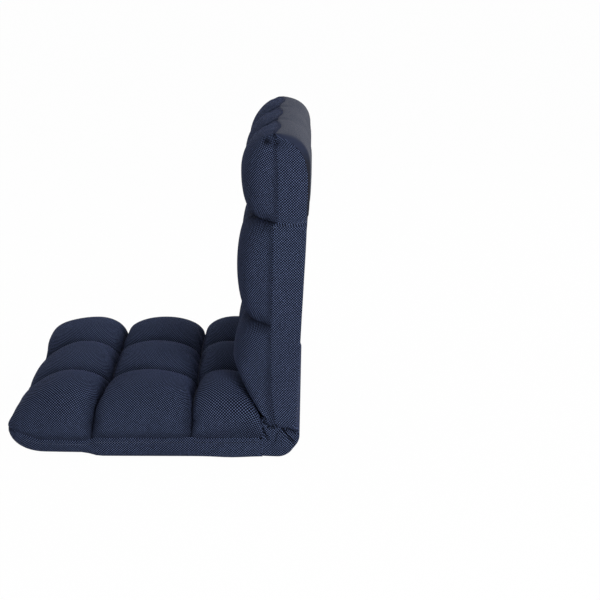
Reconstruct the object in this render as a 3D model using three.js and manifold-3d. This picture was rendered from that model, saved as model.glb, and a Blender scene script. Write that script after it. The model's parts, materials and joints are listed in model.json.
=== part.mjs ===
// A folding floor chair: two quilted cushions on steel U-frames, joined by a ratchet hinge on each side.
// Millimetres, +Z up. The sitter looks along -Y and +X is the sitter's left.
// The seat and the back are each drawn lying flat, with the hinge axis above y = 0, and the back is then
// turned up about that axis. The origin is under the middle of the upright chair, on the floor.
import * as THREE from "three";
import { mergeVertices } from "three/addons/utils/BufferGeometryUtils.js";
import Module from "manifold-3d";

const wasm = await Module();
wasm.setup();

// Driving sizes of the whole chair
const CHAIR_WIDTH = 520;
const SEAT_LENGTH = 505; // hinge axis to the front edge
const BACK_LENGTH = 567; // hinge axis to the top edge
const SEAT_CROWN = 133; // floor to the top of the seat pads
const BACK_CROWN = 121; // rear face to the front of the back pads
const AXIS_HEIGHT = 32; // hinge axis above the floor
const BACK_LEAN = 3; // degrees behind vertical when upright
const GAP = 0.3; // between pieces that touch
const RUN_CLEARANCE = 0.4; // round anything that turns

// Quilting: three columns of pads, and three rows at the stitch lines below
const COLUMN_LINE_SHARES = [1 / 3, 2 / 3];
const SEAT_LINE_SHARES = [0.335, 0.67];
const BACK_LINE_SHARES = [0.404, 0.741];
const TUFT_DEPTH_SHARE = 0.38; // how far a stitch line pulls the pads down
const ACROSS_STEPS = 8;
const ALONG_STEPS = 6;
const DRAW_IN = 7; // the sides draw in where a stitch line meets them
const DRAW_REACH = 45;
const CORNER_PULL = 16;
const CORNER_POWER = 14;
const DRAW_POWER = 10;

// Edges of the pads, as superellipse quadrants: run inwards from the edge, and roundness power
const SIDE_POWER = 2.2;
const CUSHION_START = 28; // the cushions stop this far short of the hinge axis
const SEAT_HINGE_RUN = 80;
const SEAT_HINGE_POWER = 1.45;
const SEAT_FRONT_RUN = 84;
const SEAT_FRONT_POWER = 2;
const BACK_HINGE_RUN = 110;
const BACK_HINGE_POWER = 1.2;
const BACK_TOP_RUN = 72;
const BACK_TOP_POWER = 1.8;

// The seam between the quilted cover and the plain cover, measured from the plain side
const SEAT_SEAM_AT_HINGE = 40;
const SEAT_SEAM_AT_FRONT = 52;
const BACK_SEAM_AT_HINGE = 42;
const BACK_SEAM_AT_TOP = 66;

// Cloth
const COVER_THICKNESS = 2;
const RIM_EASE = 1; // the foam stands this much further inside the seam
const BASE_EASE = 3; // and this much further again at its base
const PAN_STEPS = 4;
const PAN_COLUMN_SHARES = [0.06, 0.18, 0.5, 0.82, 0.94];
const PAN_ROW_SHARES = [0.5, 0.8];
const PAN_SIDE_RUN = 25;
const PAN_SIDE_POWER = 2.2;
const PAN_FAR_RUN = 58;
const PAN_FAR_POWER = 2;
const SLEEVE_THICKNESS = 1.5;
const SLEEVE_SIDE_INSET = 2;
const SLEEVE_LIFT = 0.4;
const SLEEVE_RINGS = 12;

// Frames: round tube bent to a U, its ends pressed flat for the hinge plates
const TUBE_DIAMETER = 16;
const TUBE_WALL = 1.2;
const TUBE_HEIGHT = 15.5; // tube centre above the plain side
const TUBE_SIDES = 12;
const TUBE_BEND = 60;
const BEND_STEPS = 5;
const FRAME_INSET = 55; // tube centre to the chair's side
const FRAME_HALF_WIDTH = CHAIR_WIDTH / 2 - FRAME_INSET;
const SEAT_TUBE_START = 30;
const BACK_TUBE_START = 38;
const SEAT_FRAME_LENGTH = 432; // hinge axis to the front tube's centre
const BACK_FRAME_LENGTH = 492;
const FLAT_LENGTH = 56;
const FLARE_LENGTH = 30; // from flat back to round

// Crossbars and webbing, at shares of the frame's length
const CROSSBAR_DIAMETER = 12;
const CROSSBAR_SIDES = 12;
const CROSSBAR_WALL = 1;
const SEAT_CROSSBAR_SHARES = [0.28, 0.83];
const BACK_CROSSBAR_SHARES = [0.27, 0.85];
const WEBBING_WIDTH = 50;
const WEBBING_THICKNESS = 1.8;
const WEBBING_ARC_STEPS = 4;
const SEAT_WEBBING_SHARES = [0.42, 0.57, 0.72];
const BACK_WEBBING_SHARES = [0.38, 0.5, 0.62, 0.75];

// Ratchet hinge
const POSITION_COUNT = 5;
const TOOTH_TIP_RADIUS = 21;
const TOOTH_ROOT_RADIUS = 17;
const RATCHET_THICKNESS = 4;
const RATCHET_STEPS = 36;
const RELEASE_ANGLE = 8; // degrees forward of upright, where the pawl can be thrown clear
const NOTCH_OVERRUN = 8;
const TANG_START = 14;
const TANG_LENGTH = 78;
const SEAT_RIVET_PLACES = [42, 66];
const CHEEK_RADIUS = 26;
const CHEEK_THICKNESS = 2.5;
const CHEEK_ARM_HALF_HEIGHT = 10;
const BACK_RIVET_PLACES = [56, 82];
const PIVOT_RADIUS = 4;
const PIVOT_HEAD_RADIUS = 7;
const PIVOT_HEAD_HEIGHT = 2.5;
const RIVET_RADIUS = 2.5;
const RIVET_HEAD_RADIUS = 4.5;
const RIVET_HEAD_HEIGHT = 2;
const PIN_SIDES = 12;
const HEAD_STEPS = 2;

// Pawl: a strut from its pin to a nose that drops into a notch
const PAWL_PIN_PLACE = 30;
const PAWL_BOSS_RADIUS = 4.5;
const PAWL_SWING = 16; // degrees from engaged to thrown clear
const NOSE_STOP_ANGLE = -59.5; // degrees round the hinge axis, with the chair flat
const NOSE_RAMP_ANGLE = -54;
const KNEE_ANGLE = -52;
const NOSE_BACK_HEIGHT = 2; // nose above the tooth tips on its back
const KNEE_HEIGHT = 0.7;
const POST_RADIUS = 1.4;
const POST_HEAD_RADIUS = 2.4;
const POST_HEAD_HEIGHT = 1;
const POST_ANGLE = -11;
const SPRING_WIRE = 1.2;
const SPRING_SIDES = 6;
const SPRING_STEPS = 14;
const SPRING_SEAT_SHARE = 0.42; // along the pawl, from its pin to its knee

// Colours and finishes
const meshCloth = finish(0x1f2a44, 0.95, 0);
const smoothCloth = finish(0x3d4450, 0.85, 0);
const foam = finish(0xe6dfc8, 1, 0);
const webbing = finish(0x17181b, 0.9, 0);
const paintedSteel = finish(0x26282c, 0.45, 0.5);
const platedSteel = finish(0xb4b8bb, 0.35, 0.9);
const springSteel = finish(0x8d9296, 0.3, 1);

const radians = THREE.MathUtils.degToRad;
const WELD = 0.0001;

function finish(color, roughness, metalness) {
  return new THREE.MeshStandardMaterial({ color, roughness, metalness });
}

// Welds a geometry's corners, drops slivers of no area and turns its faces outwards.
function tidied(geometry) {
  const bare = new THREE.BufferGeometry();
  bare.setAttribute("position", geometry.getAttribute("position"));
  if (geometry.index) bare.setIndex(geometry.index);
  const welded = mergeVertices(bare, WELD);
  const at = welded.getAttribute("position");
  const corner = (i) => new THREE.Vector3().fromBufferAttribute(at, i);
  const faces = [];
  let volume = 0;
  for (let i = 0; i < welded.index.count; i += 3) {
    const [a, b, c] = welded.index.array.slice(i, i + 3);
    if (a === b || b === c || c === a) continue;
    faces.push([a, b, c]);
    volume += corner(a).dot(corner(b).cross(corner(c)));
  }
  welded.setIndex(faces.flatMap(([a, b, c]) => (volume < 0 ? [a, c, b] : [a, b, c])));
  return welded;
}

function toSolid(geometry) {
  const clean = tidied(geometry);
  const vertProperties = clean.getAttribute("position").array;
  const triVerts = new Uint32Array(clean.index.array);
  return new wasm.Manifold(new wasm.Mesh({ numProp: 3, vertProperties, triVerts }));
}

function toGeometry(solid) {
  const { vertProperties, triVerts } = solid.getMesh();
  const geometry = new THREE.BufferGeometry();
  geometry.setAttribute("position", new THREE.BufferAttribute(vertProperties, 3));
  geometry.setIndex(new THREE.BufferAttribute(triVerts, 1));
  return geometry;
}

const joined = (...parts) => parts.map(toSolid).reduce((whole, part) => whole.add(part));
const drilled = (solid, ...cuts) => cuts.map(toSolid).reduce((left, cut) => left.subtract(cut), solid);

function piece(group, name, geometry, material) {
  const clean = tidied(geometry);
  clean.computeVertexNormals();
  const mesh = new THREE.Mesh(clean, material);
  mesh.name = name;
  group.add(mesh);
  return mesh;
}

// Points and faces of a closed skin, made from rows of points.
class Skin {
  places = [];
  faces = [];

  row(points) {
    return points.map((p) => this.places.push(p.x, p.y, p.z) / 3 - 1);
  }

  // Quads between two rows of equal length, split along the same diagonal on either side
  strip(lower, upper, underside = false) {
    for (let i = 0; i + 1 < lower.length; i++) {
      const [a, b, c, d] = [lower[i], lower[i + 1], upper[i + 1], upper[i]];
      this.faces.push(...(underside ? [a, c, b, a, d, c] : [a, b, c, a, c, d]));
    }
  }

  sheet(rows, underside = false) {
    for (let i = 0; i + 1 < rows.length; i++) this.strip(rows[i], rows[i + 1], underside);
  }

  fan(centre, ring) {
    for (let i = 0; i + 1 < ring.length; i++) this.faces.push(centre, ring[i], ring[i + 1]);
  }

  geometry() {
    const geometry = new THREE.BufferGeometry();
    geometry.setAttribute("position", new THREE.Float32BufferAttribute(this.places, 3));
    geometry.setIndex(this.faces);
    return geometry;
  }
}

// The rim of a grid as one closed ring, in order
function rimOf(rows) {
  const last = rows.length - 1;
  const right = rows.slice(1).map((row) => row.at(-1));
  const far = rows[last].slice(0, -1).reverse();
  const left = rows.slice(0, last).map((row) => row[0]).reverse();
  return [...rows[0], ...right, ...far, ...left];
}

// A sheet of cloth with a thickness: two grids, closed along the rim
function clothSheet(outerGrid, innerGrid) {
  const skin = new Skin();
  const outer = outerGrid.map((points) => skin.row(points));
  const inner = innerGrid.map((points) => skin.row(points));
  skin.sheet(outer);
  skin.sheet(inner, true);
  skin.strip(rimOf(inner), rimOf(outer));
  return skin.geometry();
}

// A block of foam: a shaped top, a skirt and a flat base on the given ring
function foamBlock(topGrid, baseGrid) {
  const skin = new Skin();
  const top = topGrid.map((points) => skin.row(points));
  const base = skin.row(rimOf(baseGrid));
  const middle = rimOf(baseGrid).reduce((sum, p) => sum.add(p), new THREE.Vector3());
  const centre = skin.row([middle.divideScalar(base.length)])[0];
  skin.sheet(top);
  skin.strip(base, rimOf(top));
  skin.fan(centre, [...base].reverse());
  return skin.geometry();
}

// A pipe with a wall, from matching rings outside and inside, open at both ends
function pipe(outerRings, innerRings) {
  const skin = new Skin();
  const closed = (points) => {
    const row = skin.row(points);
    return [...row, row[0]];
  };
  const outer = outerRings.map(closed);
  const inner = innerRings.map(closed);
  skin.sheet(outer);
  skin.sheet(inner, true);
  skin.strip(inner[0], outer[0]);
  skin.strip(outer.at(-1), inner.at(-1));
  return skin.geometry();
}

// Samples along one row of pads. Each gives its place, its edge share (0 at an outer edge, 1 inside)
// and its dome share (0 on a stitch line, 1 on a crown).
function padSamples(lines, steps, startEdge, endEdge) {
  const samples = [];
  for (let pad = 0; pad + 1 < lines.length; pad++) {
    const start = lines[pad];
    const end = lines[pad + 1];
    const opens = pad === 0 ? startEdge : null;
    const closes = pad + 2 === lines.length ? endEdge : null;
    let crown = (start + end) / 2;
    if (opens) crown = start + opens.run;
    if (closes) crown = end - closes.run;
    for (let k = pad === 0 ? 0 : 1; k <= steps; k++) {
      const angle = (Math.PI * k) / steps;
      const rising = angle < Math.PI / 2;
      const half = rising ? crown - start : end - crown;
      const edge = rising ? opens : closes;
      const power = edge ? 2 / edge.power : 1;
      const reach = half * (1 - Math.abs(Math.cos(angle)) ** power);
      const rise = k % steps ? Math.sin(angle) ** power : 0;
      const place = rising ? start + reach : end - reach;
      samples.push({ place, edge: edge ? rise : 1, dome: edge ? 1 : rise });
    }
  }
  return samples;
}

// An outline in plan: the far corners are rounded, and the sides draw in at the stitch lines
function planPoint(cushion, across, along, height) {
  const side = Math.sign(across.place);
  const sideShare = Math.abs(across.place) / (CHAIR_WIDTH / 2);
  const farShare = along.place / cushion.length;
  const pull = CORNER_PULL * (sideShare * farShare) ** CORNER_POWER;
  const near = (place, lines) => {
    const nearest = Math.min(...lines.slice(1, -1).map((line) => Math.abs(place - line)));
    return Math.max(0, 1 - nearest / DRAW_REACH) ** 2;
  };
  const sideDraw = DRAW_IN * near(along.place, cushion.lines) * sideShare ** DRAW_POWER;
  const farDraw = DRAW_IN * near(across.place, cushion.columns) * farShare ** DRAW_POWER;
  const x = across.place - side * (pull + sideDraw * height);
  const y = cushion.direction * (along.place - pull - farDraw * height);
  return new THREE.Vector3(x, y, 0);
}

function seamHeight(cushion, along) {
  const share = (along.place - CUSHION_START) / (cushion.length - CUSHION_START);
  return THREE.MathUtils.lerp(cushion.seamAtHinge, cushion.seamAtFar, share);
}

// The quilted face of a cushion, from the seam up
function quiltedGrid(cushion) {
  const side = { run: CHAIR_WIDTH / 6, power: SIDE_POWER };
  const across = padSamples(cushion.columns, ACROSS_STEPS, side, side);
  const along = padSamples(cushion.lines, ALONG_STEPS, cushion.hingeEdge, cushion.farEdge);
  return along.map((v) =>
    across.map((u) => {
      const height = u.edge * v.edge;
      const tuft = (1 - TUFT_DEPTH_SHARE * (1 - u.dome)) * (1 - TUFT_DEPTH_SHARE * (1 - v.dome));
      const seam = seamHeight(cushion, v) + GAP / 2;
      const point = planPoint(cushion, u, v, height);
      return point.setZ(seam + (cushion.crown - seam) * height * tuft);
    }),
  );
}

// Samples across or along a plain cover: rounded quadrants at its edges, and places between by share
function panSamples(start, end, shares, startEdge, endEdge) {
  const quadrant = (from, edge, inwards) =>
    Array.from({ length: PAN_STEPS }, (_, k) => {
      const angle = (Math.PI / 2) * (k / PAN_STEPS);
      const reach = edge.run * (1 - Math.cos(angle) ** (2 / edge.power));
      return { place: from + inwards * reach, edge: Math.sin(angle) ** (2 / edge.power) };
    });
  const opening = startEdge ? quadrant(start, startEdge, 1) : [];
  const closing = endEdge ? quadrant(end, endEdge, -1).reverse() : [];
  const from = startEdge ? start + startEdge.run : start;
  const to = endEdge ? end - endEdge.run : end;
  const between = [0, ...shares, 1].map((share) => ({
    place: THREE.MathUtils.lerp(from, to, share),
    edge: 1,
  }));
  return [...opening, ...between, ...closing];
}

// The plain cover: side bands below the seam and a flat panel, open at the hinge
function panGrid(cushion) {
  const side = { run: PAN_SIDE_RUN, power: PAN_SIDE_POWER };
  const far = { run: PAN_FAR_RUN, power: PAN_FAR_POWER };
  const half = CHAIR_WIDTH / 2;
  const across = panSamples(-half, half, PAN_COLUMN_SHARES, side, side);
  const along = panSamples(CUSHION_START, cushion.length, PAN_ROW_SHARES, null, far);
  return along.map((v) =>
    across.map((u) => {
      const seam = seamHeight(cushion, v) - GAP / 2;
      return planPoint(cushion, u, v, 0).setZ(seam * (1 - u.edge * v.edge));
    }),
  );
}

// Unit normals of a grid's points, each the mean of the cells that meet there
function gridNormals(grid, upwards) {
  const cellNormal = (i, j) => {
    if (!grid[i] || !grid[i + 1] || !grid[i][j] || !grid[i][j + 1]) return new THREE.Vector3();
    const rising = grid[i + 1][j + 1].clone().sub(grid[i][j]);
    const falling = grid[i + 1][j].clone().sub(grid[i][j + 1]);
    const normal = rising.cross(falling).normalize();
    return normal.z * upwards < 0 ? normal.negate() : normal;
  };
  const around = [[0, 0], [0, -1], [-1, 0], [-1, -1]];
  return grid.map((points, i) =>
    points.map((_, j) =>
      around.reduce((sum, [di, dj]) => sum.add(cellNormal(i + di, j + dj)), new THREE.Vector3()).normalize(),
    ),
  );
}

// How far one corner of a rim moves inwards in plan, so that both of its edges move by 1
function rimMitre(before, point, after, centre) {
  const inward = (from, to) => {
    const along = to.clone().sub(from).setZ(0).normalize();
    const normal = new THREE.Vector3(-along.y, along.x, 0);
    return normal.dot(centre.clone().sub(from)) < 0 ? normal.negate() : normal;
  };
  const one = inward(before ?? point, before ? point : after);
  const two = inward(after ? point : before, after ?? point);
  const sum = one.clone().add(two);
  return sum.multiplyScalar(2 / sum.lengthSq());
}

// Moves a grid inwards. The rim stays level with the seam, and an open start stays flush.
function insetGrid(grid, distance, rimDistance, upwards, openStart) {
  const last = grid.length - 1;
  const end = grid[0].length - 1;
  const normals = gridNormals(grid, upwards);
  const inside = grid.map((points, i) =>
    points.map((point, j) => {
      const normal = normals[i][j];
      if (i === 0 && openStart) normal.setY(0).normalize();
      return point.clone().addScaledVector(normal, -distance);
    }),
  );
  const chain = [
    ...grid.map((_, i) => [i, end]),
    ...grid[0].map((_, j) => [last, end - j]).slice(1),
    ...grid.map((_, i) => [last - i, 0]).slice(1),
    ...(openStart ? [] : grid[0].map((_, j) => [0, j]).slice(1, -1)),
  ];
  const centre = grid[Math.round(last / 2)][Math.round(end / 2)];
  const at = ([i, j]) => grid[i][j];
  chain.forEach((place, k) => {
    const before = k || !openStart ? at(chain.at(k - 1)) : null;
    const after = k + 1 < chain.length ? at(chain[k + 1]) : openStart ? null : at(chain[0]);
    const mitre = rimMitre(before, at(place), after, centre);
    inside[place[0]][place[1]] = at(place).clone().addScaledVector(mitre, rimDistance);
  });
  return inside;
}

// Foam fills the cushion down to the frame, inside the plain cover
function foamGeometry(cushion) {
  const outer = quiltedGrid(cushion);
  const clearance = COVER_THICKNESS + GAP;
  const top = insetGrid(outer, clearance, clearance + RIM_EASE, 1, false);
  const drop = (run, power, seam) => {
    const share = (seam - FOAM_BASE) / seam;
    return run * (1 - (1 - share ** power) ** (1 / power));
  };
  const sideDrop = drop(PAN_SIDE_RUN, PAN_SIDE_POWER, cushion.seamAtFar);
  const farDrop = drop(PAN_FAR_RUN, PAN_FAR_POWER, cushion.seamAtFar);
  const base = top.map((points) =>
    points.map((point) => {
      const x = point.x * (1 - (sideDrop + BASE_EASE) / (CHAIR_WIDTH / 2));
      const y = point.y * (1 - (farDrop + BASE_EASE) / cushion.length);
      return new THREE.Vector3(x, y, FOAM_BASE);
    }),
  );
  return foamBlock(top, base);
}

// A ring of points round a tube: round, or pressed to a flat-sided oval of the given thickness
function tubeRing(centre, side, thickness, straight, wall) {
  const up = new THREE.Vector3(0, 0, 1);
  const flatten = straight / flatStraight(RATCHET_THICKNESS);
  const spread = THREE.MathUtils.lerp(1, 1 / Math.cos(Math.PI / TUBE_SIDES), Math.min(1, flatten));
  const radius = (thickness / 2 - wall) * spread;
  return Array.from({ length: TUBE_SIDES }, (_, k) => {
    const angle = (2 * Math.PI * (k + 0.5)) / TUBE_SIDES;
    const rise = radius * Math.sin(angle) + (Math.sign(Math.sin(angle)) * straight) / 2;
    return centre.clone().addScaledVector(side, radius * Math.cos(angle)).addScaledVector(up, rise);
  });
}

// Straight part of the oval when a round tube is pressed to a thickness, at constant girth
function flatStraight(thickness) {
  return (Math.PI * (TUBE_DIAMETER - thickness)) / 2;
}

const flatHeight = (thickness) => flatStraight(thickness) + thickness;

// One U-frame tube, from a flattened end round two bends to the other
function frameGeometry(cushion) {
  const stations = [];
  const forward = cushion.direction;
  const add = (x, place, angle, flatten) => {
    const thickness = THREE.MathUtils.lerp(TUBE_DIAMETER, cushion.flatThickness, flatten);
    const straight = flatStraight(cushion.flatThickness) * flatten;
    const centre = new THREE.Vector3(x, forward * place, TUBE_HEIGHT);
    const side = new THREE.Vector3(Math.cos(angle), forward * Math.sin(angle), 0);
    stations.push({ centre, side, thickness, straight });
  };
  const flatEnd = cushion.tubeStart + FLAT_LENGTH;
  const bend = cushion.frameLength - TUBE_BEND;
  add(FRAME_HALF_WIDTH, cushion.tubeStart, 0, 1);
  add(FRAME_HALF_WIDTH, flatEnd, 0, 1);
  add(FRAME_HALF_WIDTH, flatEnd + FLARE_LENGTH / 2, 0, 1 / 2);
  add(FRAME_HALF_WIDTH, flatEnd + FLARE_LENGTH, 0, 0);
  for (let k = 0; k <= BEND_STEPS; k++) {
    const angle = (Math.PI / 2) * (k / BEND_STEPS);
    const x = FRAME_HALF_WIDTH - TUBE_BEND * (1 - Math.cos(angle));
    add(x, bend + TUBE_BEND * Math.sin(angle), angle, 0);
  }
  const mirrored = stations.map(({ centre, side, thickness, straight }) => ({
    centre: new THREE.Vector3(-centre.x, centre.y, centre.z),
    side: new THREE.Vector3(side.x, -side.y, 0),
    thickness,
    straight,
  }));
  // Past the middle of the U, the side that was outside must stay outside.
  const turned = mirrored.reverse().map((s) => ({ ...s, side: s.side.clone().negate() }));
  const all = [...stations, ...turned];
  const rings = (wall) => all.map((s) => tubeRing(s.centre, s.side, s.thickness, s.straight, wall));
  return pipe(rings(0), rings(TUBE_WALL));
}

// Turns geometry drawn in x and y, and raised along z, into the hinge plane: y, z and then x
const hingePlane = new THREE.Matrix4().makeBasis(
  new THREE.Vector3(0, 1, 0),
  new THREE.Vector3(0, 0, 1),
  new THREE.Vector3(1, 0, 0),
);

// A flat plate in the hinge plane, centred on x
function plate(outline, thickness, x) {
  const geometry = new THREE.ExtrudeGeometry(outline, { depth: thickness, bevelEnabled: false });
  return geometry.translate(0, 0, -thickness / 2).applyMatrix4(hingePlane).translate(x, 0, 0);
}

function disc(y, z, radius, thickness, x, steps = PIN_SIDES) {
  const points = Array.from({ length: steps }, (_, k) => {
    const angle = (2 * Math.PI * k) / steps;
    return new THREE.Vector2(y + radius * Math.cos(angle), z + radius * Math.sin(angle));
  });
  return plate(new THREE.Shape(points), thickness, x);
}

function slab(yFrom, yTo, zFrom, zTo, thickness, x) {
  const corners = [[yFrom, zFrom], [yTo, zFrom], [yTo, zTo], [yFrom, zTo]];
  const outline = new THREE.Shape(corners.map(([y, z]) => new THREE.Vector2(y, z)));
  return plate(outline, thickness, x);
}

// A pin along x with a domed head at each end of its grip
function headedPin(radius, grip, headRadius, headHeight) {
  const dome = Array.from({ length: HEAD_STEPS + 1 }, (_, k) => {
    const angle = (Math.PI / 2) * (k / HEAD_STEPS);
    const across = k ? headRadius * Math.sin(angle) : 0;
    return new THREE.Vector2(across, grip / 2 + headHeight * Math.cos(angle));
  });
  const upper = [...dome, new THREE.Vector2(radius, grip / 2)];
  const lower = upper.map((p) => new THREE.Vector2(p.x, -p.y)).reverse();
  return new THREE.LatheGeometry([...upper, ...lower], PIN_SIDES).rotateZ(-Math.PI / 2);
}

const polar = (radius, degrees) =>
  new THREE.Vector2(radius * Math.cos(radians(degrees)), radius * Math.sin(radians(degrees)));

// Heights here are from the hinge axis
const FRAME_DROP = TUBE_HEIGHT - AXIS_HEIGHT;
const UPRIGHT_ANGLE = 90 - BACK_LEAN;
const POSITION_PITCH = UPRIGHT_ANGLE / (POSITION_COUNT - 1);
const CHEEK_OFFSET = RATCHET_THICKNESS / 2 + GAP + CHEEK_THICKNESS / 2;
const CHEEK_FACE = CHEEK_OFFSET + CHEEK_THICKNESS / 2;
const SEAT_FLAT_THICKNESS = RATCHET_THICKNESS + 2 * (GAP + TUBE_WALL);
const BACK_FLAT_THICKNESS = RATCHET_THICKNESS;
const CHEEK_ARM_LENGTH = BACK_TUBE_START + FLAT_LENGTH - GAP;
const FOAM_BASE = TUBE_HEIGHT + flatHeight(BACK_FLAT_THICKNESS) / 2 + GAP;
const PAWL_PIN = new THREE.Vector2(PAWL_PIN_PLACE, FRAME_DROP);
const SPRING_POST = polar(CHEEK_RADIUS - POST_HEAD_RADIUS, POST_ANGLE);

// The pawl's working corners, engaged with the chair flat
const noseRadius = TOOTH_ROOT_RADIUS + RUN_CLEARANCE;
const noseStop = polar(noseRadius, NOSE_STOP_ANGLE);
const noseRamp = polar(noseRadius, NOSE_RAMP_ANGLE);
const noseBack = polar(TOOTH_TIP_RADIUS + NOSE_BACK_HEIGHT, NOSE_STOP_ANGLE);
const knee = polar(TOOTH_TIP_RADIUS + KNEE_HEIGHT, KNEE_ANGLE);

// One notch, drawn round the engaged pawl: its stop face is square to the strut, so the nose swings
// straight out, and its ramp lets the nose ride up when the back is folded forward.
function notchOutline() {
  const strut = noseStop.clone().sub(PAWL_PIN).normalize();
  const outwards = new THREE.Vector2(-strut.y, strut.x);
  const ramp = knee.clone().sub(noseRamp).normalize();
  const clear = new THREE.Vector2(-ramp.y, ramp.x).multiplyScalar(RUN_CLEARANCE);
  const stop = noseStop.clone().addScaledVector(strut, RUN_CLEARANCE);
  return [
    stop.clone().addScaledVector(outwards, -RUN_CLEARANCE),
    stop.clone().addScaledVector(outwards, NOTCH_OVERRUN),
    knee.clone().add(clear).addScaledVector(ramp, NOTCH_OVERRUN),
    noseRamp.clone().add(clear),
  ];
}

// The ratchet plate, fixed in the seat tube: a toothed disc on a tang
function ratchetGeometry(x) {
  const angles = Array.from({ length: POSITION_COUNT }, (_, k) => k * POSITION_PITCH);
  const notches = [...angles, UPRIGHT_ANGLE + RELEASE_ANGLE].map((degrees) => {
    const turned = notchOutline().map((p) => p.rotateAround(new THREE.Vector2(), radians(degrees)));
    return plate(new THREE.Shape(turned), 2 * RATCHET_THICKNESS, x);
  });
  const wheel = disc(0, 0, TOOTH_TIP_RADIUS, RATCHET_THICKNESS, x, RATCHET_STEPS);
  const low = FRAME_DROP - flatStraight(SEAT_FLAT_THICKNESS) / 2;
  const high = FRAME_DROP + flatStraight(SEAT_FLAT_THICKNESS) / 2;
  const tang = slab(-TANG_LENGTH, -TANG_START, low, high, RATCHET_THICKNESS, x);
  const bore = disc(0, 0, PIVOT_RADIUS + RUN_CLEARANCE, 2 * RATCHET_THICKNESS, x);
  const toothed = drilled(toSolid(wheel), ...notches).add(toSolid(tang));
  return toGeometry(drilled(toothed, bore, ...rivetHoles(-1, SEAT_RIVET_PLACES, x, 0)));
}

// Holes for the rivets of one tube end, measured from a given height
function rivetHoles(direction, places, x, height) {
  const z = FRAME_DROP + height;
  const depth = 2 * SEAT_FLAT_THICKNESS;
  return places.map((place) => disc(direction * place, z, RIVET_RADIUS + GAP, depth, x));
}

// A cheek plate: a round ear over the teeth and an arm along the back's tube
function cheekGeometry(x, centre) {
  const ear = disc(0, 0, CHEEK_RADIUS, CHEEK_THICKNESS, x, RATCHET_STEPS);
  const low = FRAME_DROP - CHEEK_ARM_HALF_HEIGHT;
  const high = FRAME_DROP + CHEEK_ARM_HALF_HEIGHT;
  const straight = CHEEK_ARM_LENGTH - CHEEK_ARM_HALF_HEIGHT;
  const arm = slab(0, straight, low, high, CHEEK_THICKNESS, x);
  const end = disc(straight, FRAME_DROP, CHEEK_ARM_HALF_HEIGHT, CHEEK_THICKNESS, x, RATCHET_STEPS / 2);
  const hole = (y, z, radius) => disc(y, z, radius, 2 * CHEEK_THICKNESS, x);
  const holes = [
    hole(0, 0, PIVOT_RADIUS + RUN_CLEARANCE),
    hole(PAWL_PIN.x, PAWL_PIN.y, RIVET_RADIUS + GAP),
    hole(SPRING_POST.x, SPRING_POST.y, POST_RADIUS + GAP),
    ...rivetHoles(1, BACK_RIVET_PLACES, centre, 0),
  ];
  return toGeometry(drilled(joined(ear, arm, end), ...holes));
}

// The pawl about its own pin, in the engaged position
function pawlGeometry() {
  const top = new THREE.Vector2(PAWL_PIN.x, PAWL_PIN.y + PAWL_BOSS_RADIUS);
  const bottom = new THREE.Vector2(PAWL_PIN.x, PAWL_PIN.y - PAWL_BOSS_RADIUS);
  const corners = [top, knee, noseRamp, noseStop, noseBack, bottom];
  const outline = new THREE.Shape(corners.map((p) => p.clone().sub(PAWL_PIN)));
  const strut = plate(outline, RATCHET_THICKNESS, 0);
  const boss = disc(0, 0, PAWL_BOSS_RADIUS, RATCHET_THICKNESS, 0, RATCHET_STEPS / 2);
  const bore = disc(0, 0, RIVET_RADIUS + RUN_CLEARANCE, 2 * RATCHET_THICKNESS, 0);
  return toGeometry(drilled(joined(strut, boss), bore));
}

// The bent wire that snaps the pawl over, from the post to the top edge of the thrown-clear pawl
function springGeometry() {
  const edge = knee.clone().sub(PAWL_PIN).multiplyScalar(SPRING_SEAT_SHARE);
  edge.y += PAWL_BOSS_RADIUS * (1 - SPRING_SEAT_SHARE);
  edge.rotateAround(new THREE.Vector2(), radians(PAWL_SWING)).add(PAWL_PIN);
  const standOff = SPRING_WIRE / 2 + GAP;
  const start = SPRING_POST.clone().add(new THREE.Vector2(POST_RADIUS + standOff, 0));
  const end = edge.add(new THREE.Vector2(0, 2 * standOff));
  const bulge = PAWL_BOSS_RADIUS;
  const middle = start.clone().add(end).divideScalar(2);
  const route = [
    start,
    new THREE.Vector2(start.x + bulge, start.y),
    new THREE.Vector2(start.x + bulge, middle.y),
    end,
  ];
  const points = route.map((p) => new THREE.Vector3(0, p.x, p.y));
  const curve = new THREE.CatmullRomCurve3(points);
  const section = Array.from({ length: SPRING_SIDES }, (_, k) => {
    const angle = (2 * Math.PI * k) / SPRING_SIDES;
    return new THREE.Vector2(Math.cos(angle), Math.sin(angle)).multiplyScalar(SPRING_WIRE / 2);
  });
  const options = { steps: SPRING_STEPS, extrudePath: curve, bevelEnabled: false };
  return new THREE.ExtrudeGeometry(new THREE.Shape(section), options);
}

// A webbing loop round both side tubes of a frame
function webbingGeometry(place, direction) {
  const inside = TUBE_DIAMETER / 2 + RUN_CLEARANCE;
  const racetrack = (path, radius) => {
    const half = Math.PI / 2;
    path.absarc(FRAME_HALF_WIDTH, TUBE_HEIGHT, radius, -half, half, false);
    path.absarc(-FRAME_HALF_WIDTH, TUBE_HEIGHT, radius, half, 3 * half, false);
    return path;
  };
  const outline = racetrack(new THREE.Shape(), inside + WEBBING_THICKNESS);
  outline.holes.push(racetrack(new THREE.Path(), inside));
  const options = { depth: WEBBING_WIDTH, bevelEnabled: false, curveSegments: WEBBING_ARC_STEPS };
  const loop = new THREE.ExtrudeGeometry(outline, options);
  return loop.rotateX(Math.PI / 2).translate(0, direction * place + WEBBING_WIDTH / 2, 0);
}

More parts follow.
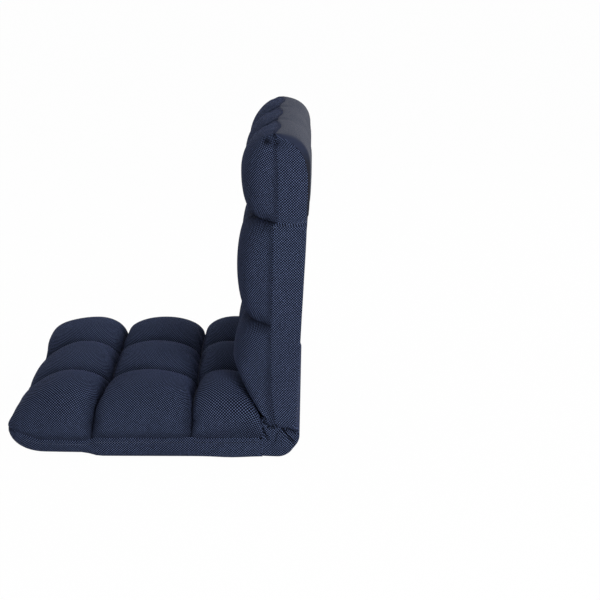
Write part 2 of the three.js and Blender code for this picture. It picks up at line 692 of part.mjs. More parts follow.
// A crossbar whose ends are notched to fit round the side tubes
function crossbarGeometry(place, direction) {
  const rod = (radius, length) =>
    new THREE.CylinderGeometry(radius, radius, length, CROSSBAR_SIDES).rotateZ(Math.PI / 2);
  const bar = rod(CROSSBAR_DIAMETER / 2, 2 * FRAME_HALF_WIDTH);
  const bore = rod(CROSSBAR_DIAMETER / 2 - CROSSBAR_WALL, 2 * CHAIR_WIDTH);
  const seats = [-1, 1].map((side) => {
    const radius = TUBE_DIAMETER / 2 + GAP;
    const seat = new THREE.CylinderGeometry(radius, radius, 2 * CROSSBAR_DIAMETER, 2 * CROSSBAR_SIDES);
    return seat.translate(side * FRAME_HALF_WIDTH, 0, 0);
  });
  const fitted = toGeometry(drilled(toSolid(bar), bore, ...seats));
  return fitted.translate(0, direction * place, TUBE_HEIGHT);
}

// The cloth sleeve over the hinge, for the upright chair: a flat duct that follows the floor, turns
// up round the hinge axis and meets the back
function sleeveGeometry() {
  const turn = radians(UPRIGHT_ANGLE);
  const axis = new THREE.Vector2(0, AXIS_HEIGHT);
  const start = CUSHION_START - GAP;
  const outerRadius = AXIS_HEIGHT - SLEEVE_LIFT;
  const arc = outerRadius * turn;
  const whole = 2 * start + arc;
  const low = (share) => {
    const done = share * whole;
    const bent = THREE.MathUtils.clamp(done - start, 0, arc) / outerRadius;
    const straight = done < start ? done - start : Math.max(0, done - start - arc);
    return new THREE.Vector2(straight, -outerRadius).rotateAround(new THREE.Vector2(), bent).add(axis);
  };
  const seatLip = new THREE.Vector2(-start, SEAT_SEAM_AT_HINGE - AXIS_HEIGHT);
  const backLip = new THREE.Vector2(start, BACK_SEAM_AT_HINGE - AXIS_HEIGHT);
  backLip.rotateAround(new THREE.Vector2(), turn);
  const high = (share) => {
    const angle = THREE.MathUtils.lerp(seatLip.angle(), backLip.angle(), share);
    const radius = THREE.MathUtils.lerp(seatLip.length(), backLip.length(), share);
    return new THREE.Vector2(Math.cos(angle), Math.sin(angle)).multiplyScalar(radius).add(axis);
  };
  const ring = (share, inset) => {
    const bottom = low(share);
    const top = high(share);
    const between = top.clone().sub(bottom).setLength(inset);
    bottom.add(between);
    top.sub(between);
    const half = CHAIR_WIDTH / 2 - SLEEVE_SIDE_INSET - inset;
    const corners = [[-half, bottom], [half, bottom], [half, top], [-half, top]];
    return corners.map(([x, p]) => new THREE.Vector3(x, p.x, p.y));
  };
  const shares = Array.from({ length: SLEEVE_RINGS + 1 }, (_, k) => k / SLEEVE_RINGS);
  const rings = (inset) => shares.map((share) => ring(share, inset));
  return pipe(rings(0), rings(SLEEVE_THICKNESS));
}

const columns = [0, ...COLUMN_LINE_SHARES, 1].map((share) => (share - 1 / 2) * CHAIR_WIDTH);

const seat = {
  direction: -1,
  length: SEAT_LENGTH,
  crown: SEAT_CROWN,
  columns,
  lines: [CUSHION_START, ...SEAT_LINE_SHARES.map((share) => share * SEAT_LENGTH), SEAT_LENGTH],
  hingeEdge: { run: SEAT_HINGE_RUN, power: SEAT_HINGE_POWER },
  farEdge: { run: SEAT_FRONT_RUN, power: SEAT_FRONT_POWER },
  seamAtHinge: SEAT_SEAM_AT_HINGE,
  seamAtFar: SEAT_SEAM_AT_FRONT,
  frameLength: SEAT_FRAME_LENGTH,
  tubeStart: SEAT_TUBE_START,
  flatThickness: SEAT_FLAT_THICKNESS,
  rivetPlaces: SEAT_RIVET_PLACES,
};

const back = {
  direction: 1,
  length: BACK_LENGTH,
  crown: BACK_CROWN,
  columns,
  lines: [CUSHION_START, ...BACK_LINE_SHARES.map((share) => share * BACK_LENGTH), BACK_LENGTH],
  hingeEdge: { run: BACK_HINGE_RUN, power: BACK_HINGE_POWER },
  farEdge: { run: BACK_TOP_RUN, power: BACK_TOP_POWER },
  seamAtHinge: BACK_SEAM_AT_HINGE,
  seamAtFar: BACK_SEAM_AT_TOP,
  frameLength: BACK_FRAME_LENGTH,
  tubeStart: BACK_TUBE_START,
  flatThickness: BACK_FLAT_THICKNESS,
  rivetPlaces: BACK_RIVET_PLACES,
};

const sides = [
  { name: "left", x: FRAME_HALF_WIDTH },
  { name: "right", x: -FRAME_HALF_WIDTH },
];

// Covers and foam of one cushion
function addSoftPieces(group, cushion, names) {
  const quilted = quiltedGrid(cushion);
  const pan = panGrid(cushion);
  const coverInside = insetGrid(quilted, COVER_THICKNESS, COVER_THICKNESS, 1, false);
  const panInside = insetGrid(pan, COVER_THICKNESS, COVER_THICKNESS, -1, true);
  piece(group, names.cover, clothSheet(quilted, coverInside), meshCloth);
  piece(group, names.foam, foamGeometry(cushion), foam);
  piece(group, names.pan, clothSheet(pan, panInside), names.panFinish);
}

// Frame tube with its rivet holes, crossbars and webbing
function addFrame(group, cushion, name, crossbars, bands) {
  const holes = sides.flatMap(({ x }) =>
    rivetHoles(cushion.direction, cushion.rivetPlaces, x, AXIS_HEIGHT),
  );
  const tube = toGeometry(drilled(toSolid(frameGeometry(cushion)), ...holes));
  piece(group, name + "_frame", tube, paintedSteel);
  crossbars.shares.forEach((share, k) => {
    const bar = crossbarGeometry(share * cushion.frameLength, cushion.direction);
    piece(group, name + "_crossbar_" + crossbars.names[k], bar, paintedSteel);
  });
  bands.forEach((share, k) => {
    const band = webbingGeometry(share * cushion.frameLength, cushion.direction);
    piece(group, name + "_webbing_" + (k + 1), band, webbing);
  });
}

function addRivets(group, cushion, name, grip) {
  sides.forEach((side) => {
    cushion.rivetPlaces.forEach((place, k) => {
      const rivet = headedPin(RIVET_RADIUS, grip, RIVET_HEAD_RADIUS, RIVET_HEAD_HEIGHT);
      rivet.translate(side.x, cushion.direction * place, TUBE_HEIGHT);
      piece(group, name + "_rivet_" + side.name + "_" + (k + 1), rivet, platedSteel);
    });
  });
}

// The seat, from the floor up
const seatGroup = new THREE.Group();
addSoftPieces(seatGroup, seat, {
  cover: "seat_top_cover",
  foam: "seat_foam",
  pan: "seat_base_cover",
  panFinish: meshCloth,
});
const seatBars = { shares: SEAT_CROSSBAR_SHARES, names: ["rear", "front"] };
addFrame(seatGroup, seat, "seat", seatBars, SEAT_WEBBING_SHARES);
addRivets(seatGroup, seat, "seat", SEAT_FLAT_THICKNESS + 2 * GAP);
piece(seatGroup, "hinge_sleeve", sleeveGeometry(), meshCloth);
sides.forEach(({ name, x }) => {
  const toothed = ratchetGeometry(x).translate(0, 0, AXIS_HEIGHT);
  piece(seatGroup, "ratchet_plate_" + name, toothed, platedSteel);
  const grip = 2 * (CHEEK_FACE + GAP);
  const pin = headedPin(PIVOT_RADIUS, grip, PIVOT_HEAD_RADIUS, PIVOT_HEAD_HEIGHT);
  piece(seatGroup, "pivot_pin_" + name, pin.translate(x, 0, AXIS_HEIGHT), platedSteel);
});

// The back, drawn flat and turned up about the hinge axis
const backGroup = new THREE.Group();
backGroup.position.z = AXIS_HEIGHT;
backGroup.rotation.x = radians(UPRIGHT_ANGLE);
const backFlat = new THREE.Group();
backFlat.position.z = -AXIS_HEIGHT;
backGroup.add(backFlat);
addSoftPieces(backFlat, back, {
  cover: "back_front_cover",
  foam: "back_foam",
  pan: "back_rear_cover",
  panFinish: smoothCloth,
});
const backBars = { shares: BACK_CROSSBAR_SHARES, names: ["lower", "upper"] };
addFrame(backFlat, back, "back", backBars, BACK_WEBBING_SHARES);
addRivets(backFlat, back, "back", 2 * (CHEEK_FACE + GAP));
sides.forEach(({ name, x }) => {
  ["inner", "outer"].forEach((face) => {
    const outwards = face === "outer" ? Math.sign(x) : -Math.sign(x);
    const cheek = cheekGeometry(x + outwards * CHEEK_OFFSET, x);
    piece(backGroup, "hinge_cheek_" + name + "_" + face, cheek, platedSteel);
  });
  const grip = 2 * (CHEEK_FACE + GAP);
  const pawlPin = headedPin(RIVET_RADIUS, grip, RIVET_HEAD_RADIUS, RIVET_HEAD_HEIGHT);
  piece(backGroup, "pawl_pin_" + name, pawlPin.translate(x, PAWL_PIN.x, PAWL_PIN.y), platedSteel);
  const post = headedPin(POST_RADIUS, grip, POST_HEAD_RADIUS, POST_HEAD_HEIGHT);
  piece(backGroup, "spring_post_" + name, post.translate(x, SPRING_POST.x, SPRING_POST.y), platedSteel);
  piece(backGroup, "pawl_spring_" + name, springGeometry().translate(x, 0, 0), springSteel);
  const pawl = piece(backGroup, "pawl_" + name, pawlGeometry(), platedSteel);
  pawl.position.set(x, PAWL_PIN.x, PAWL_PIN.y);
  pawl.rotation.x = radians(PAWL_SWING);
});

// The chair stands over its origin
const chair = new THREE.Group();
chair.add(seatGroup, backGroup);
chair.updateMatrixWorld(true);
const middle = new THREE.Box3().setFromObject(chair, true).getCenter(new THREE.Vector3());
chair.position.y = -middle.y;

export default chair;
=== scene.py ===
import json
import math
from types import SimpleNamespace

import bmesh
import bpy
import numpy as np
from mathutils import Matrix, Vector, noise


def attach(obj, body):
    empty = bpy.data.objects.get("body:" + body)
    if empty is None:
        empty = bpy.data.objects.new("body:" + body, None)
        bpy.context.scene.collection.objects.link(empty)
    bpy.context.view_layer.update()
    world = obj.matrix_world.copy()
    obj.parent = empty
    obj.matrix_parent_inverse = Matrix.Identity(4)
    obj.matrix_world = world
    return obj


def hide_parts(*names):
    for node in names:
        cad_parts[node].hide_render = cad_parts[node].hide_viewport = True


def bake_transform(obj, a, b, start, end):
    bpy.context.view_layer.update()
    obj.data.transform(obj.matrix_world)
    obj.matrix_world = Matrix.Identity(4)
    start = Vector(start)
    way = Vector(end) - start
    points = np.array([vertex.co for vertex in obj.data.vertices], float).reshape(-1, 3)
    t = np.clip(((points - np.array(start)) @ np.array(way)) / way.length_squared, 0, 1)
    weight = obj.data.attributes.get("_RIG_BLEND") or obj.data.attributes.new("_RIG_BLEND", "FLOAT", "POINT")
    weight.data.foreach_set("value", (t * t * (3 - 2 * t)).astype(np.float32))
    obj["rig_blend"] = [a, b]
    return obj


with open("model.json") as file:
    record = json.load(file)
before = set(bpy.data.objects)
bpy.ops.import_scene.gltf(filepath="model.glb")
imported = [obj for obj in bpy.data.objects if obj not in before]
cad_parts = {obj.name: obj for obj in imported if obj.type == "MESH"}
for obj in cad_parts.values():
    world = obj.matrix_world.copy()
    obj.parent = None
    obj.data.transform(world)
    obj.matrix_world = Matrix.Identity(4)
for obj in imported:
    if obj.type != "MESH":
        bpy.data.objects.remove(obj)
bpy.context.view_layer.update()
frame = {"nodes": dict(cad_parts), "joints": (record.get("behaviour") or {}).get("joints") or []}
scene = bpy.context.scene

# ---------------------------------------------------------------------------------------------
# The studio: a plain white floor and backdrop under soft light, seen from the chair's left side.
# The camera stands where the photograph was taken. The white of the floor is only what the
# camera sees; the chair itself is lit at a plain level.


class Level:
    """A number that varies over a surface. Sums and products of levels add the material's Math nodes."""

    def __init__(self, finish, socket):
        self.finish, self.socket = finish, socket

    def math(self, operation, *others):
        return self.finish.node("ShaderNodeMath", {"operation": operation}, dict(enumerate((self, *others))))

    def __add__(self, other):
        return self.math("ADD", other)

    def __mul__(self, other):
        return self.math("MULTIPLY", other)

    def __sub__(self, other):
        return self.math("SUBTRACT", other)

    def __truediv__(self, other):
        return self.math("DIVIDE", other)

    def __rsub__(self, other):
        return (self * -1) + other

    __radd__, __rmul__ = __add__, __mul__

    def rise(self, low, high, start=0.0, end=1.0):
        """A smooth step from start at low to end at high."""
        ends = {"Value": self, 1: low, 2: high, 3: start, 4: end}
        return self.finish.node("ShaderNodeMapRange", {"interpolation_type": "SMOOTHSTEP"}, ends)


class Finish:
    """A material with its shader. node() adds any node and gives its first output, or the one named."""

    def __init__(self, name, **fixed):
        self.material = bpy.data.materials.new(name)
        self.material.use_nodes = True
        self.shader = self.material.node_tree.nodes["Principled BSDF"]
        for socket, value in fixed.items():
            self.shader.inputs[socket.replace("_", " ")].default_value = value

    def node(self, kind, settings=None, values=None, output=0):
        made = self.material.node_tree.nodes.new(kind)
        for name, value in (settings or {}).items():
            setattr(made, name, value)
        for name, value in (values or {}).items():
            self.feed(made.inputs[name], value)
        return Level(self, made.outputs[output])

    def feed(self, socket, value):
        if isinstance(value, Level):
            self.material.node_tree.links.new(value.socket, socket)
        else:
            socket.default_value = value

    def show(self, **sockets):
        for name, value in sockets.items():
            self.feed(self.shader.inputs[name.replace("_", " ")], value)

    def place(self):
        """Where a point lies on its piece, in metres."""
        return self.node("ShaderNodeTexCoord", output=3)

    def attribute(self, name):
        return self.node("ShaderNodeAttribute", {"attribute_name": name}, output=2)

    def cloudy(self, place, scale, detail, dimensions="3D"):
        """Noise from 0 to 1, with scale clouds to the metre."""
        values = {"Vector": place, "Scale": scale, "Detail": detail}
        return self.node("ShaderNodeTexNoise", {"noise_dimensions": dimensions}, values)

    def mixed(self, share, one, other):
        """A colour between two, by a share from 0 to 1."""
        return self.node("ShaderNodeMix", {"data_type": "RGBA"}, {0: share, 6: one, 7: other}, output=2)

    def bump(self, height, depth, under=None):
        """The surface's normal where it stands up to depth metres proud, by height from 0 to 1."""
        values = {"Height": height, "Distance": depth, "Strength": 1.0}
        if under:
            values["Normal"] = under
        return self.node("ShaderNodeBump", values=values)


def add_object(name, mesh):
    made = bpy.data.objects.new(name, mesh)
    scene.collection.objects.link(made)
    return made


def mesh_object(name, bm, *finishes):
    """A smooth-shaded object from a finished bmesh."""
    mesh = bpy.data.meshes.new(name)
    bm.to_mesh(mesh)
    bm.free()
    mesh.polygons.foreach_set("use_smooth", [True] * len(mesh.polygons))
    for finish in finishes:
        mesh.materials.append(finish.material)
    return add_object(name, mesh)


white = Finish("studio_white", Base_Color=(0.86, 0.86, 0.86, 1), Roughness=1.0, Specular_IOR_Level=0.0)
tree = white.material.node_tree
ray = tree.nodes.new("ShaderNodeLightPath")
seen = Level(white, ray.outputs["Is Camera Ray"]).math("MAXIMUM", Level(white, ray.outputs["Is Glossy Ray"]))
seen = seen.math("MAXIMUM", Level(white, ray.outputs["Is Transmission Ray"]))
glow = white.node("ShaderNodeEmission", values={"Color": (1, 1, 1, 1), "Strength": 1.0})
lit = Level(white, white.shader.outputs[0])
floor_mix = white.node("ShaderNodeMixShader", values={0: seen * 0.985, 1: lit, 2: glow})
tree.links.new(floor_mix.socket, tree.nodes["Material Output"].inputs["Surface"])

FLOOR_SIZE, FLOOR_GAP = 30, 0.0004
bm = bmesh.new()
bmesh.ops.create_grid(bm, x_segments=1, y_segments=1, size=FLOOR_SIZE)
bmesh.ops.translate(bm, verts=bm.verts, vec=(0, 0, -FLOOR_GAP))
floor = mesh_object("studio_floor", bm, white)

world = scene.world or bpy.data.worlds.new("studio")
scene.world = world
world.use_nodes = True
sky = world.node_tree
sky.nodes.clear()
ray, dim, plain, choice, out = (
    sky.nodes.new(f"ShaderNode{kind}") for kind in ("LightPath", "Background", "Background", "MixShader", "OutputWorld")
)
dim.inputs["Color"].default_value = (0.95, 0.97, 1, 1)
dim.inputs["Strength"].default_value = 0.22
plain.inputs["Color"].default_value = (1, 1, 1, 1)
most = [sky.nodes.new("ShaderNodeMath") for _ in range(2)]
for node in most:
    node.operation = "MAXIMUM"
sky.links.new(ray.outputs["Is Camera Ray"], most[0].inputs[0])
sky.links.new(ray.outputs["Is Glossy Ray"], most[0].inputs[1])
sky.links.new(most[0].outputs[0], most[1].inputs[0])
sky.links.new(ray.outputs["Is Transmission Ray"], most[1].inputs[1])
sky.links.new(most[1].outputs[0], choice.inputs[0])
sky.links.new(dim.outputs[0], choice.inputs[1])
sky.links.new(plain.outputs[0], choice.inputs[2])
sky.links.new(choice.outputs[0], out.inputs["Surface"])

for name, place, size, power in (
    ("key", (2.4, 1.3, 0.9), 1.0, 60),
    ("front", (0.4, -2.4, 1.4), 1.4, 6),
    ("rear", (-1.6, 2.0, 1.5), 1.6, 17),
    ("top", (-0.8, -0.3, 2.5), 1.4, 16),
):
    lamp = bpy.data.lights.new(name, "AREA")
    lamp.size, lamp.energy = size, power
    lamp_object = add_object(name, lamp)
    lamp_object.location = place
    lamp_object.rotation_euler = (Vector((0, 0, 0.2)) - Vector(place)).to_track_quat("-Z", "Y").to_euler()

FOCAL_PIXELS, PICTURE_PIXELS, SENSOR_MM = 1239.4, 600, 36
YAW, PITCH = -0.0079169, 0.290588
camera = add_object("camera", bpy.data.cameras.new("camera"))
camera.data.lens = SENSOR_MM * FOCAL_PIXELS / PICTURE_PIXELS
ahead = Vector((-math.cos(PITCH) * math.cos(YAW), math.cos(PITCH) * math.sin(YAW), -math.sin(PITCH)))
camera.location = (2.36627, 0.28108, 0.93273)
camera.rotation_euler = ahead.to_track_quat("-Z", "Y").to_euler()
scene.camera = camera
scene.view_settings.view_transform = "Standard"

# ---------------------------------------------------------------------------------------------
# The two cushions as they are cut: each is quilted into three columns and three rows of pads.
# They are laid out flat, +Y from the hinge axis outwards and +Z from the plain side up, and
# the back is then turned up about the hinge axis.
axis = Vector(next(j for j in frame["joints"] if j["name"] == "recline")["pos_m"])
axis.x = 0
HALF = 0.26
OUT_FROM_HINGE = 0.028
columns = [-HALF, -HALF / 3, HALF / 3, HALF]
side = SimpleNamespace(run=0.0867, power=2.3)

seat = SimpleNamespace(
    length=0.505,
    crown=0.1275,  # height of the pads
    columns=columns,
    lines=[OUT_FROM_HINGE, 0.16918, 0.33835, 0.505],
    side=side,  # each rounding: how far in it runs, and its power, 2 for a quadrant and more for a squarer one
    hinge=SimpleNamespace(run=0.080, power=2.2),
    far=SimpleNamespace(run=0.104, power=1.9),
    seam=([0.028, 0.15, 0.333, 0.345, 0.44, 0.48, 0.505], [0.038, 0.0365, 0.0365, 0.0305, 0.032, 0.042, 0.046]),
    seam_wave=0.0,  # how far the seam rises and falls with the pads at the far end
    edge=([0.028, 0.333, 0.36, 0.505], [0.16, 0.16, 1.1, 1.3]),  # width of the plain cover's rounding, by place
    front=([-0.26, -0.13, -0.05, 0.12, 0.26], [0.38, 0.62, 1.3, 1.4, 1.8]),  # how far pads roll down, by place across
    corner=(0.016, 0.016),  # how far the far corners are drawn in, across and along
    shifts=(  # how far each stitch line bends, by place across
        ([-0.26, -0.1, 0.12, 0.26], [0, 0, -0.010, -0.010]),
        ([-0.26, -0.1, 0.12, 0.2, 0.26], [0, 0, -0.009, -0.004, 0.005]),
    ),
    pan_far=SimpleNamespace(run=0.070, power=1.9),
    pits=[((0.262, 0.487, 0.058), 0.010, 0.004)],  # puckers at the far corners: spot, radius and depth
    place=Matrix.Translation((0, axis.y, 0)) @ Matrix.Scale(-1, 4, (0, 1, 0)),
)
back = SimpleNamespace(
    length=0.567,
    crown=0.1205,
    columns=columns,
    lines=[OUT_FROM_HINGE, 0.22907, 0.42015, 0.567],
    side=side,
    hinge=SimpleNamespace(run=0.110, power=1.2),
    far=SimpleNamespace(run=0.072, power=1.9),
    seam=(
        [0.028, 0.06, 0.10, 0.20, 0.30, 0.405, 0.4085, 0.50, 0.567],
        [0.036, 0.043, 0.048, 0.053, 0.056, 0.059, 0.0515, 0.0545, 0.0585],
    ),
    seam_wave=0.004,
    edge=([0.028, 0.25, 0.4185, 0.4215, 0.50, 0.567], [0.16, 0.2, 0.6, 0.3, 0.4, 1.0]),
    front=([-0.26, 0.26], [1, 1]),
    corner=(0.010, 0.005),
    shifts=(
        ([-0.26, -0.2, -0.13, 0.13, 0.2, 0.26], [-0.010, -0.008, -0.003, -0.003, -0.008, -0.010]),
        ([-0.26, -0.2, -0.13, 0.13, 0.2, 0.26], [-0.0125, -0.011, -0.004, -0.004, -0.011, -0.0125]),
    ),
    pan_far=SimpleNamespace(run=0.056, power=2.15),
    pits=[
        ((0.254, 0.553, 0.0625), 0.0075, 0.014),
        ((0.245, 0.549, 0.076), 0.006, 0.007),
        ((0.250, 0.566, 0.058), 0.009, -0.002),
    ],
    place=Matrix.Translation(axis) @ Matrix.Rotation(math.radians(87), 4, "X") @ Matrix.Translation((0, 0, -axis.z)),
)


def hump(offset, width):
    """1 where the offset is 0, falling away to either side over the width."""
    return math.exp(-((offset / width) ** 2))


def seam_height(cushion, x, y):
    """Height of the side seam. At the far end it waves with the pads."""
    share = (y - OUT_FROM_HINGE) / (cushion.length - OUT_FROM_HINGE)
    wave = -cushion.seam_wave * math.cos(3 * math.pi * x / HALF) * max(0, share) ** 12
    return float(np.interp(y, *cushion.seam)) + wave


def drawn_in(cushion, point):
    """Draws in the far corners, and the seams where a stitch line meets them, and presses in the small pits."""
    x, y, z = point
    width, reach = min(1, abs(x) / HALF), min(1, y / cushion.length)
    near = lambda place, lines: sum(hump(place - line, 0.007) for line in lines)
    rows = [line + float(np.interp(x, *shift)) for line, shift in zip(cushion.lines[1:-1], cushion.shifts)]
    at_seam = hump(z - seam_height(cushion, x, y), 0.016)
    corner = (width * reach) ** 14
    pinch = 0.0045 * at_seam
    moved = Vector((
        abs(x) - cushion.corner[0] * corner - pinch * near(y, rows) * width**9,
        y - cushion.corner[1] * corner - pinch * near(x, cushion.columns[1:-1]) * reach**9,
        z,
    ))
    for spot, radius, depth in cushion.pits:
        gap = moved - Vector(spot)
        if gap.length < 3 * radius:
            way = Vector((0.8, 0.6, 0)) if depth > 0 else Vector((0.3, 0.9, 0.2))
            moved -= way * depth * hump(gap.length, radius)
    return Vector((math.copysign(moved.x, x), moved.y, moved.z))


# ---------------------------------------------------------------------------------------------
# Mesh cloth: an open navy spacer mesh, knitted with its holes in diagonal rows 3.4 mm apart.
# The yarn catches the light on the pads and the holes stay dark; painted shade darkens the folds, seams and pits.
MESH_PITCH = 0.0034


def weave_place(finish):
    """Where a point lies on the flat cloth, in metres."""
    place = finish.node("ShaderNodeUVMap", {"uv_map": "cloth"})
    parts = finish.node("ShaderNodeSeparateXYZ", values={0: place})
    return place, parts, Level(finish, parts.socket.node.outputs["Y"])


def mesh_cloth(name, yarn, hole):
    finish = Finish(name, Roughness=0.95, Specular_IOR_Level=0.08, Sheen_Weight=0.06, Sheen_Roughness=0.4)
    finish.shader.inputs["Sheen Tint"].default_value = (0.28, 0.38, 1.0, 1)
    place, u, v = weave_place(finish)
    wander = (finish.cloudy(place, 55.0, 1.0, "2D") - 0.5) * 1.2
    turn = math.tau / (MESH_PITCH * math.sqrt(2))
    rows = ((u + v) * turn + wander).math("SINE")
    files = ((u - v) * turn + wander).math("SINE")
    yarns = ((rows + files) * 0.25 + 0.5).rise(0.44, 0.90)
    fibre = finish.cloudy(place, 2600.0, 2.0, "2D")
    wear = finish.cloudy(place, 9.0, 3.0, "2D")
    painted_shade = finish.attribute("painted_shade")
    # Painted shade: the attribute read above darkens the colour towards the hole colour in the creases, at the seams,
    # in the pits and along the pleats.
    lit = yarns * (0.72 + 0.56 * fibre) * (1 - 0.88 * painted_shade)
    colour = finish.mixed(lit * (0.8 + 0.4 * wear), hole, yarn)
    finish.show(Base_Color=colour, Roughness=0.98 - 0.14 * yarns)
    pucker = finish.attribute("pucker")
    gathers = finish.cloudy(place, 95.0, 1.0, "2D")
    finish.show(Normal=finish.bump(yarns + 0.25 * fibre, 0.0006, finish.bump(gathers * pucker, 0.005)))
    return finish


navy_mesh = mesh_cloth("navy_mesh", yarn=(0.094, 0.125, 0.234, 1), hole=(0.0010, 0.0016, 0.0045, 1))

# ---------------------------------------------------------------------------------------------
# Quilted covers: mesh cloth sewn down along two lines each way, so that the foam swells it into
# nine pads. The cloth is blown up over the foam and held at the stitch lines and side seams, and
# its edge is rolled into the seam.
ROLLS = (1, 0.75, 0.4)  # steps of a cover's edge, where it turns into the side seam
SEAM_ROLL, TURNED_IN = 0.0030, 0.003
COVER_CLOTH = 0.002
SWELLING_FRAMES = 20


def pad_samples(lines, steps, opens, closes):
    """Samples along a row of pads: place, edge (0 at the rim, 1 inside), dome (0 on a stitch line) and roll."""
    samples = []
    for pad, (start, end) in enumerate(zip(lines, lines[1:])):
        first, last = pad == 0, pad + 2 == len(lines)
        crown = start + opens.run if first else end - closes.run if last else (start + end) / 2
        for k in range(0 if first else 1, steps + 1):
            rising = 2 * k < steps
            half = crown - start if rising else end - crown
            at_edge = first if rising else last
            power = (opens if rising else closes).power if at_edge else 2.05
            reach = half * (1 - abs(math.cos(math.pi * k / steps)) ** (2 / power))
            height = math.sin(math.pi * k / steps) ** (2 / power) if k % steps else 0
            place = start + reach if rising else end - reach
            samples.append((place, height if at_edge else 1, 1 if at_edge else height, 0))
    rolled = lambda place: [(place, 0, 1, roll) for roll in ROLLS]
    return rolled(lines[0]) + samples + rolled(lines[-1])[::-1]


def quilted_point(cushion, across, along):
    """A point of a quilted cover: domed over each pad, drawn down and together where it is stitched."""
    x, x_edge, x_dome, x_roll = across
    y, y_edge, y_dome, y_roll = along
    fuller = 1 - 0.85 * hump(y - OUT_FROM_HINGE, 0.075)
    steeper = float(np.interp(x, *cushion.front)) if y > cushion.length / 2 else 1
    height = x_edge**fuller * y_edge**steeper
    tuft = (1 - 0.5 * (1 - x_dome)) * (1 - 0.5 * (1 - y_dome))
    wall = 0.15 + 0.85 * min(1, height / 0.4)
    at_hinge = -1 if y < cushion.length / 2 else 1
    drawn_x = 0.024 * (1 - y_dome) * wall * (abs(x) / HALF) ** 5 + TURNED_IN * x_roll**2
    drawn_y = 0.022 * (1 - x_dome) * wall * (y / cushion.length) ** 7 + at_hinge * TURNED_IN * y_roll**2
    for line, shift in zip(cushion.lines[1:-1], cushion.shifts):
        drawn_y -= float(np.interp(x, *shift)) * hump(y - line, 0.05)
    x -= math.copysign(drawn_x, x)
    y -= drawn_y
    seam = seam_height(cushion, x, y) + SEAM_ROLL * (1 - 1.6 * max(x_roll, y_roll))
    return drawn_in(cushion, Vector((x, y, seam + (cushion.crown - seam) * height * tuft)))


def mapped_grid(across, along, point, place, own=False):
    """A sheet of quads whose corners lie where point() puts each pair of samples. Its UV map is each corner's place on
    the flat cloth, in metres, by the usual length of a step, or by the length of its own row, from the first column."""
    wide, long = len(across) - 1, len(along) - 1
    points = np.array([[point(u, v) for u in across] for v in along])
    steps = [np.linalg.norm(np.diff(points, axis=way), axis=2) for way in (1, 0)]
    u_at, v_at = (np.insert(np.cumsum(np.percentile(steps[way], 75, axis=way)), 0, 0) for way in (0, 1))
    row_at = np.insert(np.cumsum(steps[0], axis=1), 0, 0, axis=1)
    bm = bmesh.new()
    bmesh.ops.create_grid(bm, x_segments=wide, y_segments=long, size=1)
    cloth = bm.loops.layers.uv.new("cloth")
    bm.verts.layers.float.new("painted_shade")
    bm.verts.layers.float.new("pucker")
    bm.edges.layers.float.new("crease_edge")
    at = {v: (round((v.co.x + 1) / 2 * wide), round((v.co.y + 1) / 2 * long)) for v in bm.verts}
    for face in bm.faces:
        for loop in face.loops:
            i, j = at[loop.vert]
            loop[cloth].uv = row_at[j, i] if own else u_at[i], v_at[j]
    for v, (i, j) in at.items():
        v.co = place @ Vector(points[j, i])
    if place.determinant() < 0:
        bmesh.ops.reverse_faces(bm, faces=bm.faces)
    bm.normal_update()
    return bm, at


def laid_flat(piece):
    """Unwraps a swollen cover so that its weave keeps its angles, in the size and direction of the map it has."""
    layer = piece.data.uv_layers["cloth"].data
    old, new = np.empty(2 * len(layer)), np.empty(2 * len(layer))
    layer.foreach_get("uv", old)
    bpy.context.view_layer.objects.active = piece
    bpy.ops.object.mode_set(mode="EDIT")
    bpy.ops.mesh.select_all(action="SELECT")
    bpy.ops.uv.unwrap(method="ANGLE_BASED", margin=0.0)
    bpy.ops.object.mode_set(mode="OBJECT")
    layer = piece.data.uv_layers["cloth"].data
    layer.foreach_get("uv", new)
    old, new = old.view(complex), new.view(complex)
    tries = []
    for turned in (new, new.conj()):
        system = np.stack([turned, np.ones_like(turned)], axis=1)
        fit = np.linalg.lstsq(system, old, rcond=None)[0]
        fitted = system @ fit
        tries.append((np.abs(fitted - old).sum(), fitted))
    best = min(tries, key=lambda t: t[0])[1]
    layer.foreach_set("uv", np.ascontiguousarray(best).view(float))
    piece.select_set(False)


def blown_up(piece, held, pressure, spare, cap):
    """Swells a cover over its foam. Held points stay, the rest has spare cloth, and none moves further than cap."""
    rest = np.array([v.co for v in piece.data.vertices])
    stitched = piece.vertex_groups.new(name="stitched")
    stitched.add(held, 1.0, "REPLACE")
    cloth = piece.modifiers.new("Cloth", "CLOTH")
    settings = cloth.settings
    settings.quality = 6
    settings.mass = 0.35
    settings.tension_stiffness = settings.compression_stiffness = 18
    settings.shear_stiffness = 6
    settings.bending_stiffness = 1.2
    settings.use_pressure = True
    settings.uniform_pressure_force = pressure
    settings.shrink_min = -spare
    settings.vertex_group_mass = stitched.name
    settings.effector_weights.gravity = 0
    for number in range(1, SWELLING_FRAMES + 1):
        scene.frame_set(number)
    evaluated = piece.evaluated_get(bpy.context.evaluated_depsgraph_get())
    swollen = np.array([v.co for v in evaluated.data.vertices])
    piece.modifiers.remove(cloth)
    scene.frame_set(1)
    move = swollen - rest
    length = np.linalg.norm(move, axis=1, keepdims=True) + 1e-9
    move *= cap * np.tanh(length / cap) / length
    piece.data.vertices.foreach_set("co", (rest + move).ravel())
    piece.data.update()


def thickened(piece, thickness, finer=0):
    """The cloth's own thickness, laid on its inner side, after as many rounds of smoothing as finer says."""
    if finer:
        smooth = piece.modifiers.new("Finer", "SUBSURF")
        smooth.levels = smooth.render_levels = finer
    wall = piece.modifiers.new("Cloth thickness", "SOLIDIFY")
    wall.thickness, wall.offset = thickness, -1


